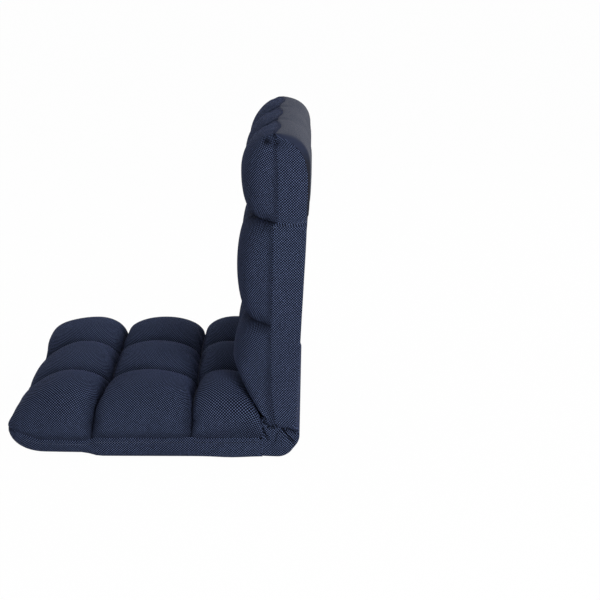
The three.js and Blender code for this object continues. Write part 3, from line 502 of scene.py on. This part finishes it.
def quilted_cover(name, cushion):
    steps = 26
    across = pad_samples(cushion.columns, steps, cushion.side, cushion.side)
    along = pad_samples(cushion.lines, steps, cushion.hinge, cushion.far)
    bm, at = mapped_grid(across, along, lambda u, v: quilted_point(cushion, u, v), cushion.place)
    bm.verts.index_update()
    on_line = {v for v, (i, j) in at.items() if across[i][2] == 0 or along[j][2] == 0}
    held = [v.index for v, (i, j) in at.items() if v in on_line or across[i][1] * along[j][1] == 0]
    painted_shade, pucker = (bm.verts.layers.float[layer] for layer in ("painted_shade", "pucker"))
    deep_pits = [(Vector(spot), radius) for spot, radius, depth in cushion.pits if depth > 0.005]
    unplaced = cushion.place.inverted()
    for v, (i, j) in at.items():
        over_line = min(across[i][2], along[j][2])
        over_seam = across[i][1] * along[j][1]
        laid = unplaced @ v.co
        laid.x = abs(laid.x)
        at_pit = sum(hump((laid - spot).length, radius) for spot, radius in deep_pits)
        v[pucker] = max(0, 1 - over_line / 0.7) ** 1.5
        # Painted shade: dark along the stitch lines, beside the side seams and round the deep pits.
        v[painted_shade] = max(0, 1 - over_line / 0.7, (0.45 if along[j][1] else 0.7) - over_seam / 0.05, min(1, 1.5 * at_pit))
    sharp = bm.edges.layers.float["crease_edge"]
    for edge in bm.edges:
        (i, j), (k, m) = (at[v] for v in edge.verts)
        on_file = i == k and across[i][2] == 0
        edge[sharp] = 0.8 if on_file or (j == m and along[j][2] == 0) else 0
    cover = mesh_object(name, bm, navy_mesh)
    laid_flat(cover)
    blown_up(cover, held, pressure=2.5, spare=0.02, cap=0.007)
    thickened(cover, COVER_CLOTH, finer=1)
    return cover


seat_cover = quilted_cover("seat_quilted_cover", seat)
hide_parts("seat_top_cover")
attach(seat_cover, "seat")
back_cover = quilted_cover("back_quilted_cover", back)
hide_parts("back_front_cover")
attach(back_cover, "backrest")

# ---------------------------------------------------------------------------------------------
# Foam: one block of pale polyurethane in each cushion, drawn down under the stitch lines, that
# rests on the steel frame and its webbing.
foam = Finish("foam", Roughness=1.0, Specular_IOR_Level=0.1)
cells = foam.node("ShaderNodeTexVoronoi", {"feature": "F1"}, {"Vector": foam.place(), "Scale": 900.0})
foam.show(Base_Color=foam.mixed(cells, (0.66, 0.60, 0.44, 1), (0.86, 0.81, 0.66, 1)), Normal=foam.bump(cells, 0.0004))
FOAM_BELOW_CLOTH, FOAM_BASE = 0.008, 0.0262


def foam_block(name, cushion, body, node):
    across = pad_samples(cushion.columns, 10, cushion.side, cushion.side)[3:-3]
    along = pad_samples(cushion.lines, 10, cushion.hinge, cushion.far)[3:-3]
    bm, _ = mapped_grid(across, along, lambda u, v: quilted_point(cushion, u, v), Matrix.Identity(4))
    for v in bm.verts:
        v.co -= v.normal * FOAM_BELOW_CLOTH
    rim = [e for e in bm.edges if e.is_boundary]
    middle = cushion.length / 2
    walls = bmesh.ops.extrude_edge_only(bm, edges=rim)["geom"]
    for v in (g for g in walls if isinstance(g, bmesh.types.BMVert)):
        v.co = Vector((v.co.x * 0.93, middle + (v.co.y - middle) * 0.96, FOAM_BASE))
    bmesh.ops.contextual_create(bm, geom=[e for e in bm.edges if e.is_boundary])
    bmesh.ops.transform(bm, matrix=cushion.place, verts=bm.verts)
    bmesh.ops.recalc_face_normals(bm, faces=bm.faces)
    if bm.calc_volume(signed=True) < 0:
        bmesh.ops.reverse_faces(bm, faces=bm.faces)
    block = mesh_object(name, bm, foam)
    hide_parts(node)
    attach(block, body)


foam_block("seat_foam_block", seat, "seat", "seat_foam")
foam_block("back_foam_block", back, "backrest", "back_foam")

# ---------------------------------------------------------------------------------------------
# Seat base cover: a plain band of the same mesh below the side seam, rounded into the bottom
# panel that lies on the floor, and curled up at the front. It is open at the hinge.


def plain_samples(start, end, opens, closes, spacing):
    """Samples of a plain cover: place, edge and roll. Rounded quadrants at its edges, even places between."""

    def quadrant(edge, inwards):
        turns = [math.pi / 2 * k / 12 for k in range(12)]
        return [
            (edge.at + inwards * edge.run * (1 - math.cos(t) ** (2 / edge.power)), math.sin(t) ** (2 / edge.power), 0)
            for t in turns
        ]

    rolled = lambda place: [(place, 0, roll) for roll in ROLLS]
    opening = rolled(start) + quadrant(SimpleNamespace(at=start, **vars(opens)), 1) if opens else []
    closing = (rolled(end) + quadrant(SimpleNamespace(at=end, **vars(closes)), -1))[::-1] if closes else []
    low = start + (opens.run if opens else 0)
    high = end - (closes.run if closes else 0)
    count = max(2, round((high - low) / spacing))
    return opening + [(low + (high - low) * k / count, 1, 0) for k in range(count + 1)] + closing


pan_side = SimpleNamespace(run=0.025, power=2.2)
BAND_JOINT = 0.345  # where the seat's side band is pieced
CROSS_SEAM, CROSS_RISE = 0.4065, 0.0128  # the back's cross seam at its side seam, and how much higher at the rear


def eased(value, low, high):
    """A smooth step from 0 at low to 1 at high."""
    share = min(1, max(0, (value - low) / (high - low)))
    return share * share * (3 - 2 * share)


def plain_point(cushion, across, along):
    """A point of a plain cover. The rounding at its long edges is tight or soft along the cushion."""
    x, x_edge, x_roll = across
    y, y_edge, y_roll = along
    seam = seam_height(cushion, x, y) - SEAM_ROLL * (1 - 1.6 * max(x_roll, y_roll))
    tight = pan_side.run * float(np.interp(y, *cushion.edge))
    width = float(np.interp(HALF - abs(x), [0, pan_side.run, HALF], [HALF, HALF - tight, 0]))
    point = Vector((math.copysign(width, x), y - TURNED_IN * y_roll**2, seam * (1 - x_edge * y_edge)))
    point.x -= math.copysign(TURNED_IN * x_roll**2, x)
    if cushion is back:
        cross = CROSS_SEAM + CROSS_RISE * (1 - point.z / seam)
        above = eased(y, cross, cross + 0.005)
        point.x += math.copysign(0.0022 * above - 0.0010 * hump(y - cross, 0.0022), x) * x_edge
        point.z -= 0.0025 * eased(y, cross, cross + 0.010) * (1 - eased(y, 0.46, 0.54)) * x_edge**4
    else:
        bulge = 0.005 * hump(y - 0.085, 0.036)
        groove = 0.001 * hump(y - BAND_JOINT, 0.0011)
        point.x += math.copysign(bulge - groove, x) * x_edge**0.5 * eased(width, HALF - 0.03, HALF - 0.006)
    return drawn_in(cushion, point)


across = plain_samples(-HALF, HALF, pan_side, pan_side, 0.014)
along = plain_samples(OUT_FROM_HINGE, seat.length, None, seat.pan_far, 0.014)
along = sorted(along + [(BAND_JOINT - 0.004 + 0.001 * k, 1, 0) for k in range(9)])
bm, _ = mapped_grid(across, along, lambda u, v: plain_point(seat, u, v), seat.place)
bmesh.ops.reverse_faces(bm, faces=bm.faces)
seat_base = mesh_object("seat_base_cloth", bm, navy_mesh)
thickened(seat_base, COVER_CLOTH)
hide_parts("seat_base_cover")
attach(seat_base, "seat")

# ---------------------------------------------------------------------------------------------
# Back rear cover: a smooth dark grey panel over the rear face that wraps over the top edge to
# the front cover, and a mesh gusset down each side that narrows to nothing at the top corner.
panel_cloth = Finish("grey_panel", Roughness=0.85, Specular_IOR_Level=0.2, Sheen_Weight=0.04, Sheen_Roughness=0.5)
place, u, v = weave_place(panel_cloth)
turn = math.tau / 0.0007
twill = ((u * turn).math("SINE") + (v * turn).math("SINE")) * 0.25 + 0.5
mottle = panel_cloth.cloudy(place, 14.0, 4.0, "2D")
shade = panel_cloth.mixed(twill * (0.7 + 0.6 * mottle), (0.0104, 0.0152, 0.0350, 1), (0.0164, 0.0229, 0.0500, 1))
# Painted shade: the attribute darkens the panel towards a near-black grey where its side band turns away from the
# light.
shade = panel_cloth.mixed(panel_cloth.attribute("painted_shade"), shade, (0.0050, 0.0055, 0.0090, 1))
panel_cloth.show(Base_Color=shade, Normal=panel_cloth.bump(twill, 0.0001))

along = plain_samples(OUT_FROM_HINGE, back.length, None, back.pan_far, 0.012)
along = sorted(along + [(CROSS_SEAM - 0.005 + 0.001 * k, 1, 0) for k in range(24)])
side_arc = [s for s in plain_samples(-HALF, HALF, pan_side, pan_side, 0.1) if s[0] < -HALF + pan_side.run + 1e-6]
GUSSET_WIDTHS = [0.412, 0.420, 0.498, 0.530, 0.548, 0.560, 0.567], [1, 0.81, 0.785, 0.66, 0.55, 0.42, 0.22]
BAND = 0.14  # share of the panel's width that lies on each side band


def gusset_share(y):
    """How much of the side band is gusset: all of it up to the cross seam, then less and less."""
    return float(np.interp(y, *GUSSET_WIDTHS))


def band_sample(share):
    """A sample of the side band, at a share of the way from the side seam to the flat rear face."""
    k = share * (len(side_arc) - 1)
    low = min(int(k), len(side_arc) - 2)
    return tuple(a + (b - a) * (k - low) for a, b in zip(side_arc[low], side_arc[low + 1]))


def gusset(name, hand):
    steps = [k / 16 for k in range(17)]

    def point(share, row):
        x, edge, roll = band_sample(share * gusset_share(row[0]))
        return plain_point(back, (hand * -x, edge, roll), row)

    bm, _ = mapped_grid(steps, along, point, back.place, own=True)
    bmesh.ops.recalc_face_normals(bm, faces=bm.faces)
    if sum(f.normal.x * hand for f in bm.faces) < 0:
        bmesh.ops.reverse_faces(bm, faces=bm.faces)
    strip = mesh_object(name, bm, navy_mesh)
    thickened(strip, COVER_CLOTH)
    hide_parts("back_rear_cover")
    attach(strip, "backrest")


gusset("back_gusset_left", 1)
gusset("back_gusset_right", -1)


def panel_point(share, row):
    """A point of the rear panel, from the right gusset's edge at share 0 to the left one's at share 1."""
    from_edge = min(share, 1 - share) / BAND
    hand = -1 if share < 0.5 else 1
    if from_edge < 1:
        start = gusset_share(row[0])
        x, edge, roll = band_sample(start + (1 - start) * from_edge)
        return plain_point(back, (hand * -x, edge, roll), row)
    half_flat = HALF - pan_side.run
    x = (share - 0.5) / (0.5 - BAND) * half_flat
    waves = lambda wide, long, start: noise.noise(Vector((x * wide, row[0] * long, start)))
    slack = 0.0046 * waves(13, 4, 3.1) + 0.0018 * waves(31, 9, 7.7)
    return plain_point(back, (x, 1, 0), row) + Vector((0, 0, slack * row[1] * eased(from_edge, 1, 1.6)))


on_band = [BAND * k / 12 for k in range(12)]
shares = on_band + [BAND + (1 - 2 * BAND) * k / 34 for k in range(35)] + [1 - share for share in on_band[::-1]]
bm, at = mapped_grid(shares, along, panel_point, back.place)
painted_shade = bm.verts.layers.float["painted_shade"]
# Painted shade on the side band next to each gusset, between the cross seam and the top.
for v, (i, j) in at.items():
    from_edge, y = min(shares[i], 1 - shares[i]) / BAND, along[j][0]
    v[painted_shade] = (1 - eased(from_edge, 0.4, 1.25)) * eased(y, 0.41, 0.43) * (1 - eased(y, 0.51, 0.55)) * 0.85
bmesh.ops.remove_doubles(bm, verts=bm.verts, dist=0.00005)
bmesh.ops.reverse_faces(bm, faces=bm.faces)
panel = mesh_object("back_rear_panel", bm, panel_cloth)
thickened(panel, COVER_CLOTH)
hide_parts("back_rear_cover")
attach(panel, "backrest")

# ---------------------------------------------------------------------------------------------
# Stitching: bonded nylon thread in a lockstitch. It holds the quilting down in the creases, and
# runs beside the side seam of the seat and below the cross seam at the back's sides and rear.
thread = Finish("thread", Roughness=0.55, Specular_IOR_Level=0.4)
twist = thread.cloudy(thread.place(), 1800.0, 1.0)
twisted = thread.mixed(twist, (0.020, 0.027, 0.052, 1), (0.060, 0.078, 0.135, 1))
thread.show(Base_Color=twisted, Normal=thread.bump(twist, 0.0001))
QUILTING = 0.006, (0.0022, 0.0006, 0.0005)  # pitch of the stitches, and their half sizes
TOP_STITCH = 0.0048, (0.0017, 0.0005, 0.0005)
PROUD = 0.0003


def stitched(name, cushion, body, lines, pitch, size):
    """Stitches along each line. A line gives a point of the cover for any place on it, from start to end."""
    bm = bmesh.new()
    for line, start, end in lines:
        count = round(abs(end - start) / pitch)
        for k in range(count):
            middle, step = start + (end - start) * (k + 0.5) / count, (end - start) / count * 0.3
            one, other = line(middle - step), line(middle + step)
            turn = (other - one).to_track_quat("X", "Z").to_matrix().to_4x4()
            place = Matrix.Translation((one + other) / 2) @ turn @ Matrix.Diagonal((*size, 1))
            bmesh.ops.create_icosphere(bm, subdivisions=1, radius=1, matrix=cushion.place @ place)
    bmesh.ops.recalc_face_normals(bm, faces=bm.faces)
    stitches = mesh_object(name, bm, thread)
    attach(stitches, body)


def sample_at(samples, place):
    """The sample at any place along a row of pads."""
    places = [sample[0] for sample in samples]
    return tuple(float(np.interp(place, places, values)) for values in zip(*samples))


up = Vector((0, 0, 2 * PROUD))
for name, cushion, body in (("seat_quilting_thread", seat, "seat"), ("back_quilting_thread", back, "backrest")):
    across = pad_samples(cushion.columns, 52, cushion.side, cushion.side)[3:-3]
    along = pad_samples(cushion.lines, 52, cushion.hinge, cushion.far)[3:-3]
    files = [
        (lambda y, x=x: quilted_point(cushion, (x, 1, 0, 0), sample_at(along, y)) + up, 0.045, cushion.length - 0.02)
        for x in cushion.columns[1:-1]
    ]
    rows = [
        (lambda x, y=y: quilted_point(cushion, sample_at(across, x), (y, 1, 0, 0)) + up, -0.245, 0.245)
        for y in cushion.lines[1:-1]
    ]
    stitched(name, cushion, body, files + rows, *QUILTING)

BELOW_SEAM = 0.14
seam_sides = [
    (lambda y, x=hand * (HALF + PROUD): plain_point(seat, (x, BELOW_SEAM, 0), (y, 1, 0)), 0.035, 0.470)
    for hand in (-1, 1)
]
seam_front = (lambda x: plain_point(seat, (x, 1, 0), (seat.length + PROUD, BELOW_SEAM, 0)), -0.235, 0.235)
stitched("seat_top_stitching", seat, "seat", seam_sides + [seam_front], *TOP_STITCH)


def cross_point(share, hand):
    """A point on the side band, 5 mm below the back's cross seam."""
    x, edge, roll = band_sample(share)
    on_cloth = plain_point(back, (hand * -x, edge, roll), (0.4, 1, 0))
    on_cloth.y = CROSS_SEAM - 0.005 + CROSS_RISE * (1 - on_cloth.z / 0.059)
    return on_cloth + Vector((hand * PROUD, 0, 0))


cross_sides = [(lambda share, hand=hand: cross_point(share, hand), 0.05, 0.97) for hand in (-1, 1)]
stitched("back_cross_stitching", back, "backrest", cross_sides, 0.06, TOP_STITCH[1])
rear_row = CROSS_SEAM + CROSS_RISE - 0.0055, 1, 0
rear_line = (lambda x: plain_point(back, (x, 1, 0), rear_row) - up, -0.225, 0.225)
stitched("rear_cross_stitching", back, "backrest", [rear_line], *TOP_STITCH)

# ---------------------------------------------------------------------------------------------
# Hinge sleeve: the loose cloth that joins the two plain covers round the hinge. It lies on the
# floor and turns up behind the hinge axis. At each side it is gathered in pleats that run from
# one point at the foot of the back's gusset. It bends as the back moves.
SLEEVE_CLOTH, SLEEVE_RADIUS = 0.0012, 0.033
RAYS = 360
sleeve_bend = [axis + Vector((0, -0.0051, -0.0061)), axis + Vector((0, 0.0373, 0.0444))]
outer_line = [  # the sleeve from the side: degrees round the hinge axis, and millimetres from it
    (222, 42.6), (228, 41.2), (234, 38.4), (240, 36.0), (250, 33.4), (260, 32.1), (270, 31.8), (300, 31.8), (330, 32.2),
    (340, 33.8), (351, 36.3), (362, 39.0), (373, 41.5), (380, 42.0), (390, 42.6), (398, 43.0), (405, 43.2),
]
TUCKED = [(30, 42), (14, 46), (0, 48), (-14, 47), (-28, 43), (-40, 34), (-45, 18), (-42, -10), (-41, -26)]
gather = Vector((0.0063, 0.0257))


def turned_left(one, other):
    """Above 0 where the second vector points left of the first."""
    return one.x * other.y - one.y * other.x


def ray_length(hem, angle):
    """Distance from the gathering point to the hem, along one ray."""
    way = Vector((math.cos(angle), math.sin(angle)))
    crossings = []
    for one, other in zip(hem, hem[1:] + hem[:1]):
        span, gap = other - one, one - gather
        turn = turned_left(way, span)
        if abs(turn) > 1e-9:
            along_ray, along_hem = turned_left(gap, span) / turn, turned_left(gap, way) / turn
            if along_ray > 0 and -1e-6 <= along_hem <= 1 + 1e-6:
                crossings.append(along_ray)
    return max(crossings)


dense = np.arange(222, 405.1, 3)
reaches = np.interp(dense, *zip(*outer_line)) / 1000
outer = [Vector((r * math.cos(a), r * math.sin(a))) for a, r in zip(np.radians(dense), reaches)]
hem = outer + [Vector(p) / 1000 for p in TUCKED]
first_ray, last_ray = (math.atan2((p - gather).y, (p - gather).x) % math.tau for p in (outer[0], outer[-1]))
last_ray += math.tau if last_ray < first_ray else 0
rays = [first_ray + math.tau * k / RAYS for k in range(RAYS + 1)]
lengths = [ray_length(hem, a) for a in rays]
FOLDS = [  # millimetres from the hinge axis, width of the left and right flank in millimetres, depth in metres
    ([(-28, 26), (-26, 20), (-22, 11), (-16.0, 1.0)], 3.5, 9.0, 0.0075),
    ([(-27, 39), (-22, 32), (-14, 27.5), (-5, 27.5), (5, 25.6)], 7.0, 4.0, 0.0055),
    ([(6.3, 25.7), (20, 8), (35.0, -10.5)], 3.5, 11.0, 0.0085),
    ([(8.5, 28.5), (16, 25.5), (24.0, 20.0), (33, 17.0), (41.5, 14.5)], 9.0, 3.5, 0.0075),
    ([(4.0, 24.0), (-3.0, 10.0), (-8.0, -8.0)], 4.0, 6.0, 0.0020),
]


def pleat_depth(spot):
    """How far the folds pull the side in at a spot, and how much painted shade lies there. Each runs along a few
    points, steep on one flank and easy on the other, and dies out at its ends."""
    depth = painted_pleat_shade = 0
    for points, left, right, deep in FOLDS:
        points = [Vector(p) / 1000 for p in points]
        total = sum((b - a).length for a, b in zip(points, points[1:]))
        best, done = None, 0
        for one, other in zip(points, points[1:]):
            way = other - one
            share = min(1, max(0, (spot - one).dot(way) / way.length_squared))
            gap = spot - one - way * share
            if best is None or gap.length < best[0]:
                best = gap.length, turned_left(way, gap), (done + way.length * share) / total
            done += way.length
        off, hand, share = best
        flank = off * 1000 / (left if hand > 0 else right)
        fading = min(1, (share + 0.02) / 0.12, (1 - share) / 0.3)
        if flank < 1:
            depth += deep * (1 - flank) ** 1.4 * fading
        painted_pleat_shade = max(painted_pleat_shade, (1 - off / 0.0036) * fading * min(1, deep / 0.005))
    return depth, painted_pleat_shade


EDGE = 0.2556  # where the sleeve's ends begin to round


def bag_point(across, k):
    """across is -1 to -0.5 up the right side, -0.5 to 0.5 across the chair and 0.5 to 1 up the left side."""
    hand = math.copysign(1, across)
    angle, length = rays[k], lengths[k]
    inward = max(0, (abs(across) - 0.5) / 0.5)
    share = 1 - inward**1.3
    spot = gather + Vector((math.cos(angle), math.sin(angle))) * length * share
    if abs(across) < 0.5:
        return Vector((hand * EDGE * abs(across) / 0.5, axis.y + spot.x, axis.z + spot.y))
    edge = min(1, length * (1 - share) / 0.004)
    x = EDGE + 0.004 * math.sqrt(1 - (1 - edge) ** 2)
    over_pin = hump((spot - Vector((0.002, -0.002))).length, 0.013) * edge
    at_gather = hump(length * share, 0.009)
    at_covers = max(eased(-spot.x, 0.028, 0.042), eased(spot.y, 0.0285, 0.0365) * (spot.x > -0.009))
    x += 0.0035 * over_pin - 0.0065 * at_gather - 0.0025 * at_covers - pleat_depth(spot)[0]
    if 92 < math.degrees(math.atan2(spot.y, spot.x)) % 360 < 172:  # in the crease between the cushions
        x -= 0.003 * eased(spot.length, 0.026, 0.050) + 0.024 * eased(spot.length, 0.042, 0.060)
    return Vector((hand * x, axis.y + spot.x, axis.z + spot.y))


up_side = [0.5 + 0.5 * k / 34 for k in range(35)]
stations = [-a for a in up_side[::-1]] + [-0.5 + k / 26 for k in range(1, 26)] + up_side
bm, at = mapped_grid(stations, list(range(RAYS + 1)), bag_point, Matrix.Identity(4))
cloth = bm.loops.layers.uv["cloth"]
for face in bm.faces:
    on_side = abs(face.normal.x) > 0.6
    for loop in face.loops:
        x, y, z = loop.vert.co
        turned = math.atan2(z - axis.z, y - axis.y) * SLEEVE_RADIUS
        loop[cloth].uv = (y, z) if on_side else (x, turned)
# Painted shade: the sleeve darkens along each pleat and where it runs deep into the crease between the cushions.
painted_shade = bm.verts.layers.float["painted_shade"]
for v in bm.verts:
    if abs(v.co.x) > EDGE - 0.02:
        spot = Vector((v.co.y - axis.y, v.co.z - axis.z))
        v[painted_shade] = max(0.9 * pleat_depth(spot)[1], 0.6 * eased(spot.length, 0.044, 0.056) * (spot.y > 0.02))
spare = []
for face in bm.faces:
    ray = rays[max(at[v][1] for v in face.verts) - 1]
    between = max(abs(stations[at[v][0]]) for v in face.verts) < 0.501
    if between and (ray > last_ray or face.calc_center_median().z > axis.z + 0.045):
        spare.append(face)
bmesh.ops.delete(bm, geom=spare, context="FACES")
bmesh.ops.remove_doubles(bm, verts=bm.verts, dist=0.00005)
bmesh.ops.recalc_face_normals(bm, faces=bm.faces)
if sum(f.normal.x * f.calc_center_median().x for f in bm.faces) < 0:
    bmesh.ops.reverse_faces(bm, faces=bm.faces)
sleeve = mesh_object("hinge_sleeve_cloth", bm, navy_mesh)
thickened(sleeve, SLEEVE_CLOTH)
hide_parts("hinge_sleeve")
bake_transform(sleeve, "seat", "backrest", *sleeve_bend)

# ---------------------------------------------------------------------------------------------
# Crease strip: a strip of the mesh cloth sewn between the two quilted covers, over the hinge,
# deep in the crease. It opens out when the back lies down.
STRIP_TUCK = 0.12  # share of the strip that is tucked in at each edge


def strip_point(x, share):
    """A point of the strip, from the seat's cover at share 0 to the back's at share 1, tucked in at both."""
    angle = math.radians(164 - 57.4 * min(1, max(0, (share - STRIP_TUCK) / (1 - 2 * STRIP_TUCK))))
    tuck = max(0, STRIP_TUCK - share, share - (1 - STRIP_TUCK)) / STRIP_TUCK * 0.010
    reach = 0.0291 + 0.0012 * math.sin(share * 6 * math.pi) * (STRIP_TUCK < share < 1 - STRIP_TUCK)
    spot = Vector((math.cos(angle), math.sin(angle))) * reach
    spot += Vector((-1, 0)) * tuck if share < 0.5 else Vector((0.05, 1)) * tuck
    return Vector((x, axis.y + spot.x, axis.z + spot.y))


xs = [-0.25 + 0.5 * k / 40 for k in range(41)]
bm, _ = mapped_grid(xs, [k / 32 for k in range(33)], strip_point, Matrix.Identity(4))
strip = mesh_object("hinge_crease_strip", bm, navy_mesh)
thickened(strip, SLEEVE_CLOTH)
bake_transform(strip, "seat", "backrest", axis + Vector((0, -0.010, -0.010)), axis + Vector((0, 0.010, 0.010)))

# ---------------------------------------------------------------------------------------------
# Frames: round steel tube bent to a U, its ends pressed flat, and two crossbars welded into
# each. They are powder-coated black and show a fine orange-peel.
black_coat = Finish("black_coat", Base_Color=(0.018, 0.019, 0.021, 1), Roughness=0.42, Metallic=0.0)
place = black_coat.place()
peel = black_coat.cloudy(place, 700.0, 2.0)
dust = black_coat.cloudy(place, 12.0, 4.0)
black_coat.show(Roughness=0.36 + 0.16 * dust, Normal=black_coat.bump(peel, 0.00008))
black_coat.show(Base_Color=black_coat.mixed(dust, (0.015, 0.016, 0.018, 1), (0.026, 0.027, 0.030, 1)))

# ---------------------------------------------------------------------------------------------
# Webbing: black polypropylene belts, woven with ribs across them. Each is looped round both
# side tubes of its frame and carries the foam.
belt_weave = Finish("belt_weave", Roughness=0.8, Specular_IOR_Level=0.3)
parts = belt_weave.node("ShaderNodeSeparateXYZ", values={0: belt_weave.place()}).socket.node
belt_x, belt_y, belt_z = (Level(belt_weave, parts.outputs[way]) for way in "XYZ")
turn = math.tau / 0.0016
ribs = (belt_x * turn).math("SINE") * 0.5 + 0.5
threads = ((belt_y + belt_z) * turn).math("SINE") * 0.5 + 0.5
woven = ribs * 0.6 + threads * 0.4
belt_weave.show(Base_Color=belt_weave.mixed(woven, (0.008, 0.008, 0.010, 1), (0.030, 0.031, 0.035, 1)))
belt_weave.show(Normal=belt_weave.bump(woven, 0.0003))

# ---------------------------------------------------------------------------------------------
# Hinge plates, pins, pawls and rivets: punched and turned steel, zinc plated, with a faint grain
# from rolling. The two pawl springs are bare spring steel.
zinc = Finish("zinc_plate", Metallic=1.0, Roughness=0.35)
place = zinc.place()
streaks = zinc.node("ShaderNodeMapping", values={0: place, "Scale": (1.0, 30.0, 1.0)})
rolled = zinc.cloudy(streaks, 60.0, 4.0)
spangle = zinc.node("ShaderNodeTexVoronoi", values={"Vector": place, "Scale": 160.0})
zinc.show(Base_Color=zinc.mixed(spangle, (0.46, 0.48, 0.50, 1), (0.62, 0.64, 0.66, 1)))
zinc.show(Roughness=0.26 + 0.22 * rolled, Normal=zinc.bump(rolled, 0.00003))
spring_wire = Finish("spring_wire", Metallic=1.0, Roughness=0.3)
drawn = spring_wire.cloudy(spring_wire.place(), 900.0, 2.0)
steel = spring_wire.mixed(drawn, (0.22, 0.23, 0.25, 1), (0.36, 0.37, 0.39, 1))
spring_wire.show(Base_Color=steel, Roughness=0.2 + 0.2 * drawn)

for name, node in frame["nodes"].items():
    if "_frame" in name or "crossbar" in name:
        finish = black_coat
    elif "webbing" in name:
        finish = belt_weave
    elif "spring" in name and "post" not in name:
        finish = spring_wire
    elif any(word in name for word in ("ratchet", "pin", "rivet", "cheek", "pawl", "post")):
        finish = zinc
    else:
        continue
    node.data.materials.clear()
    node.data.materials.append(finish.material)
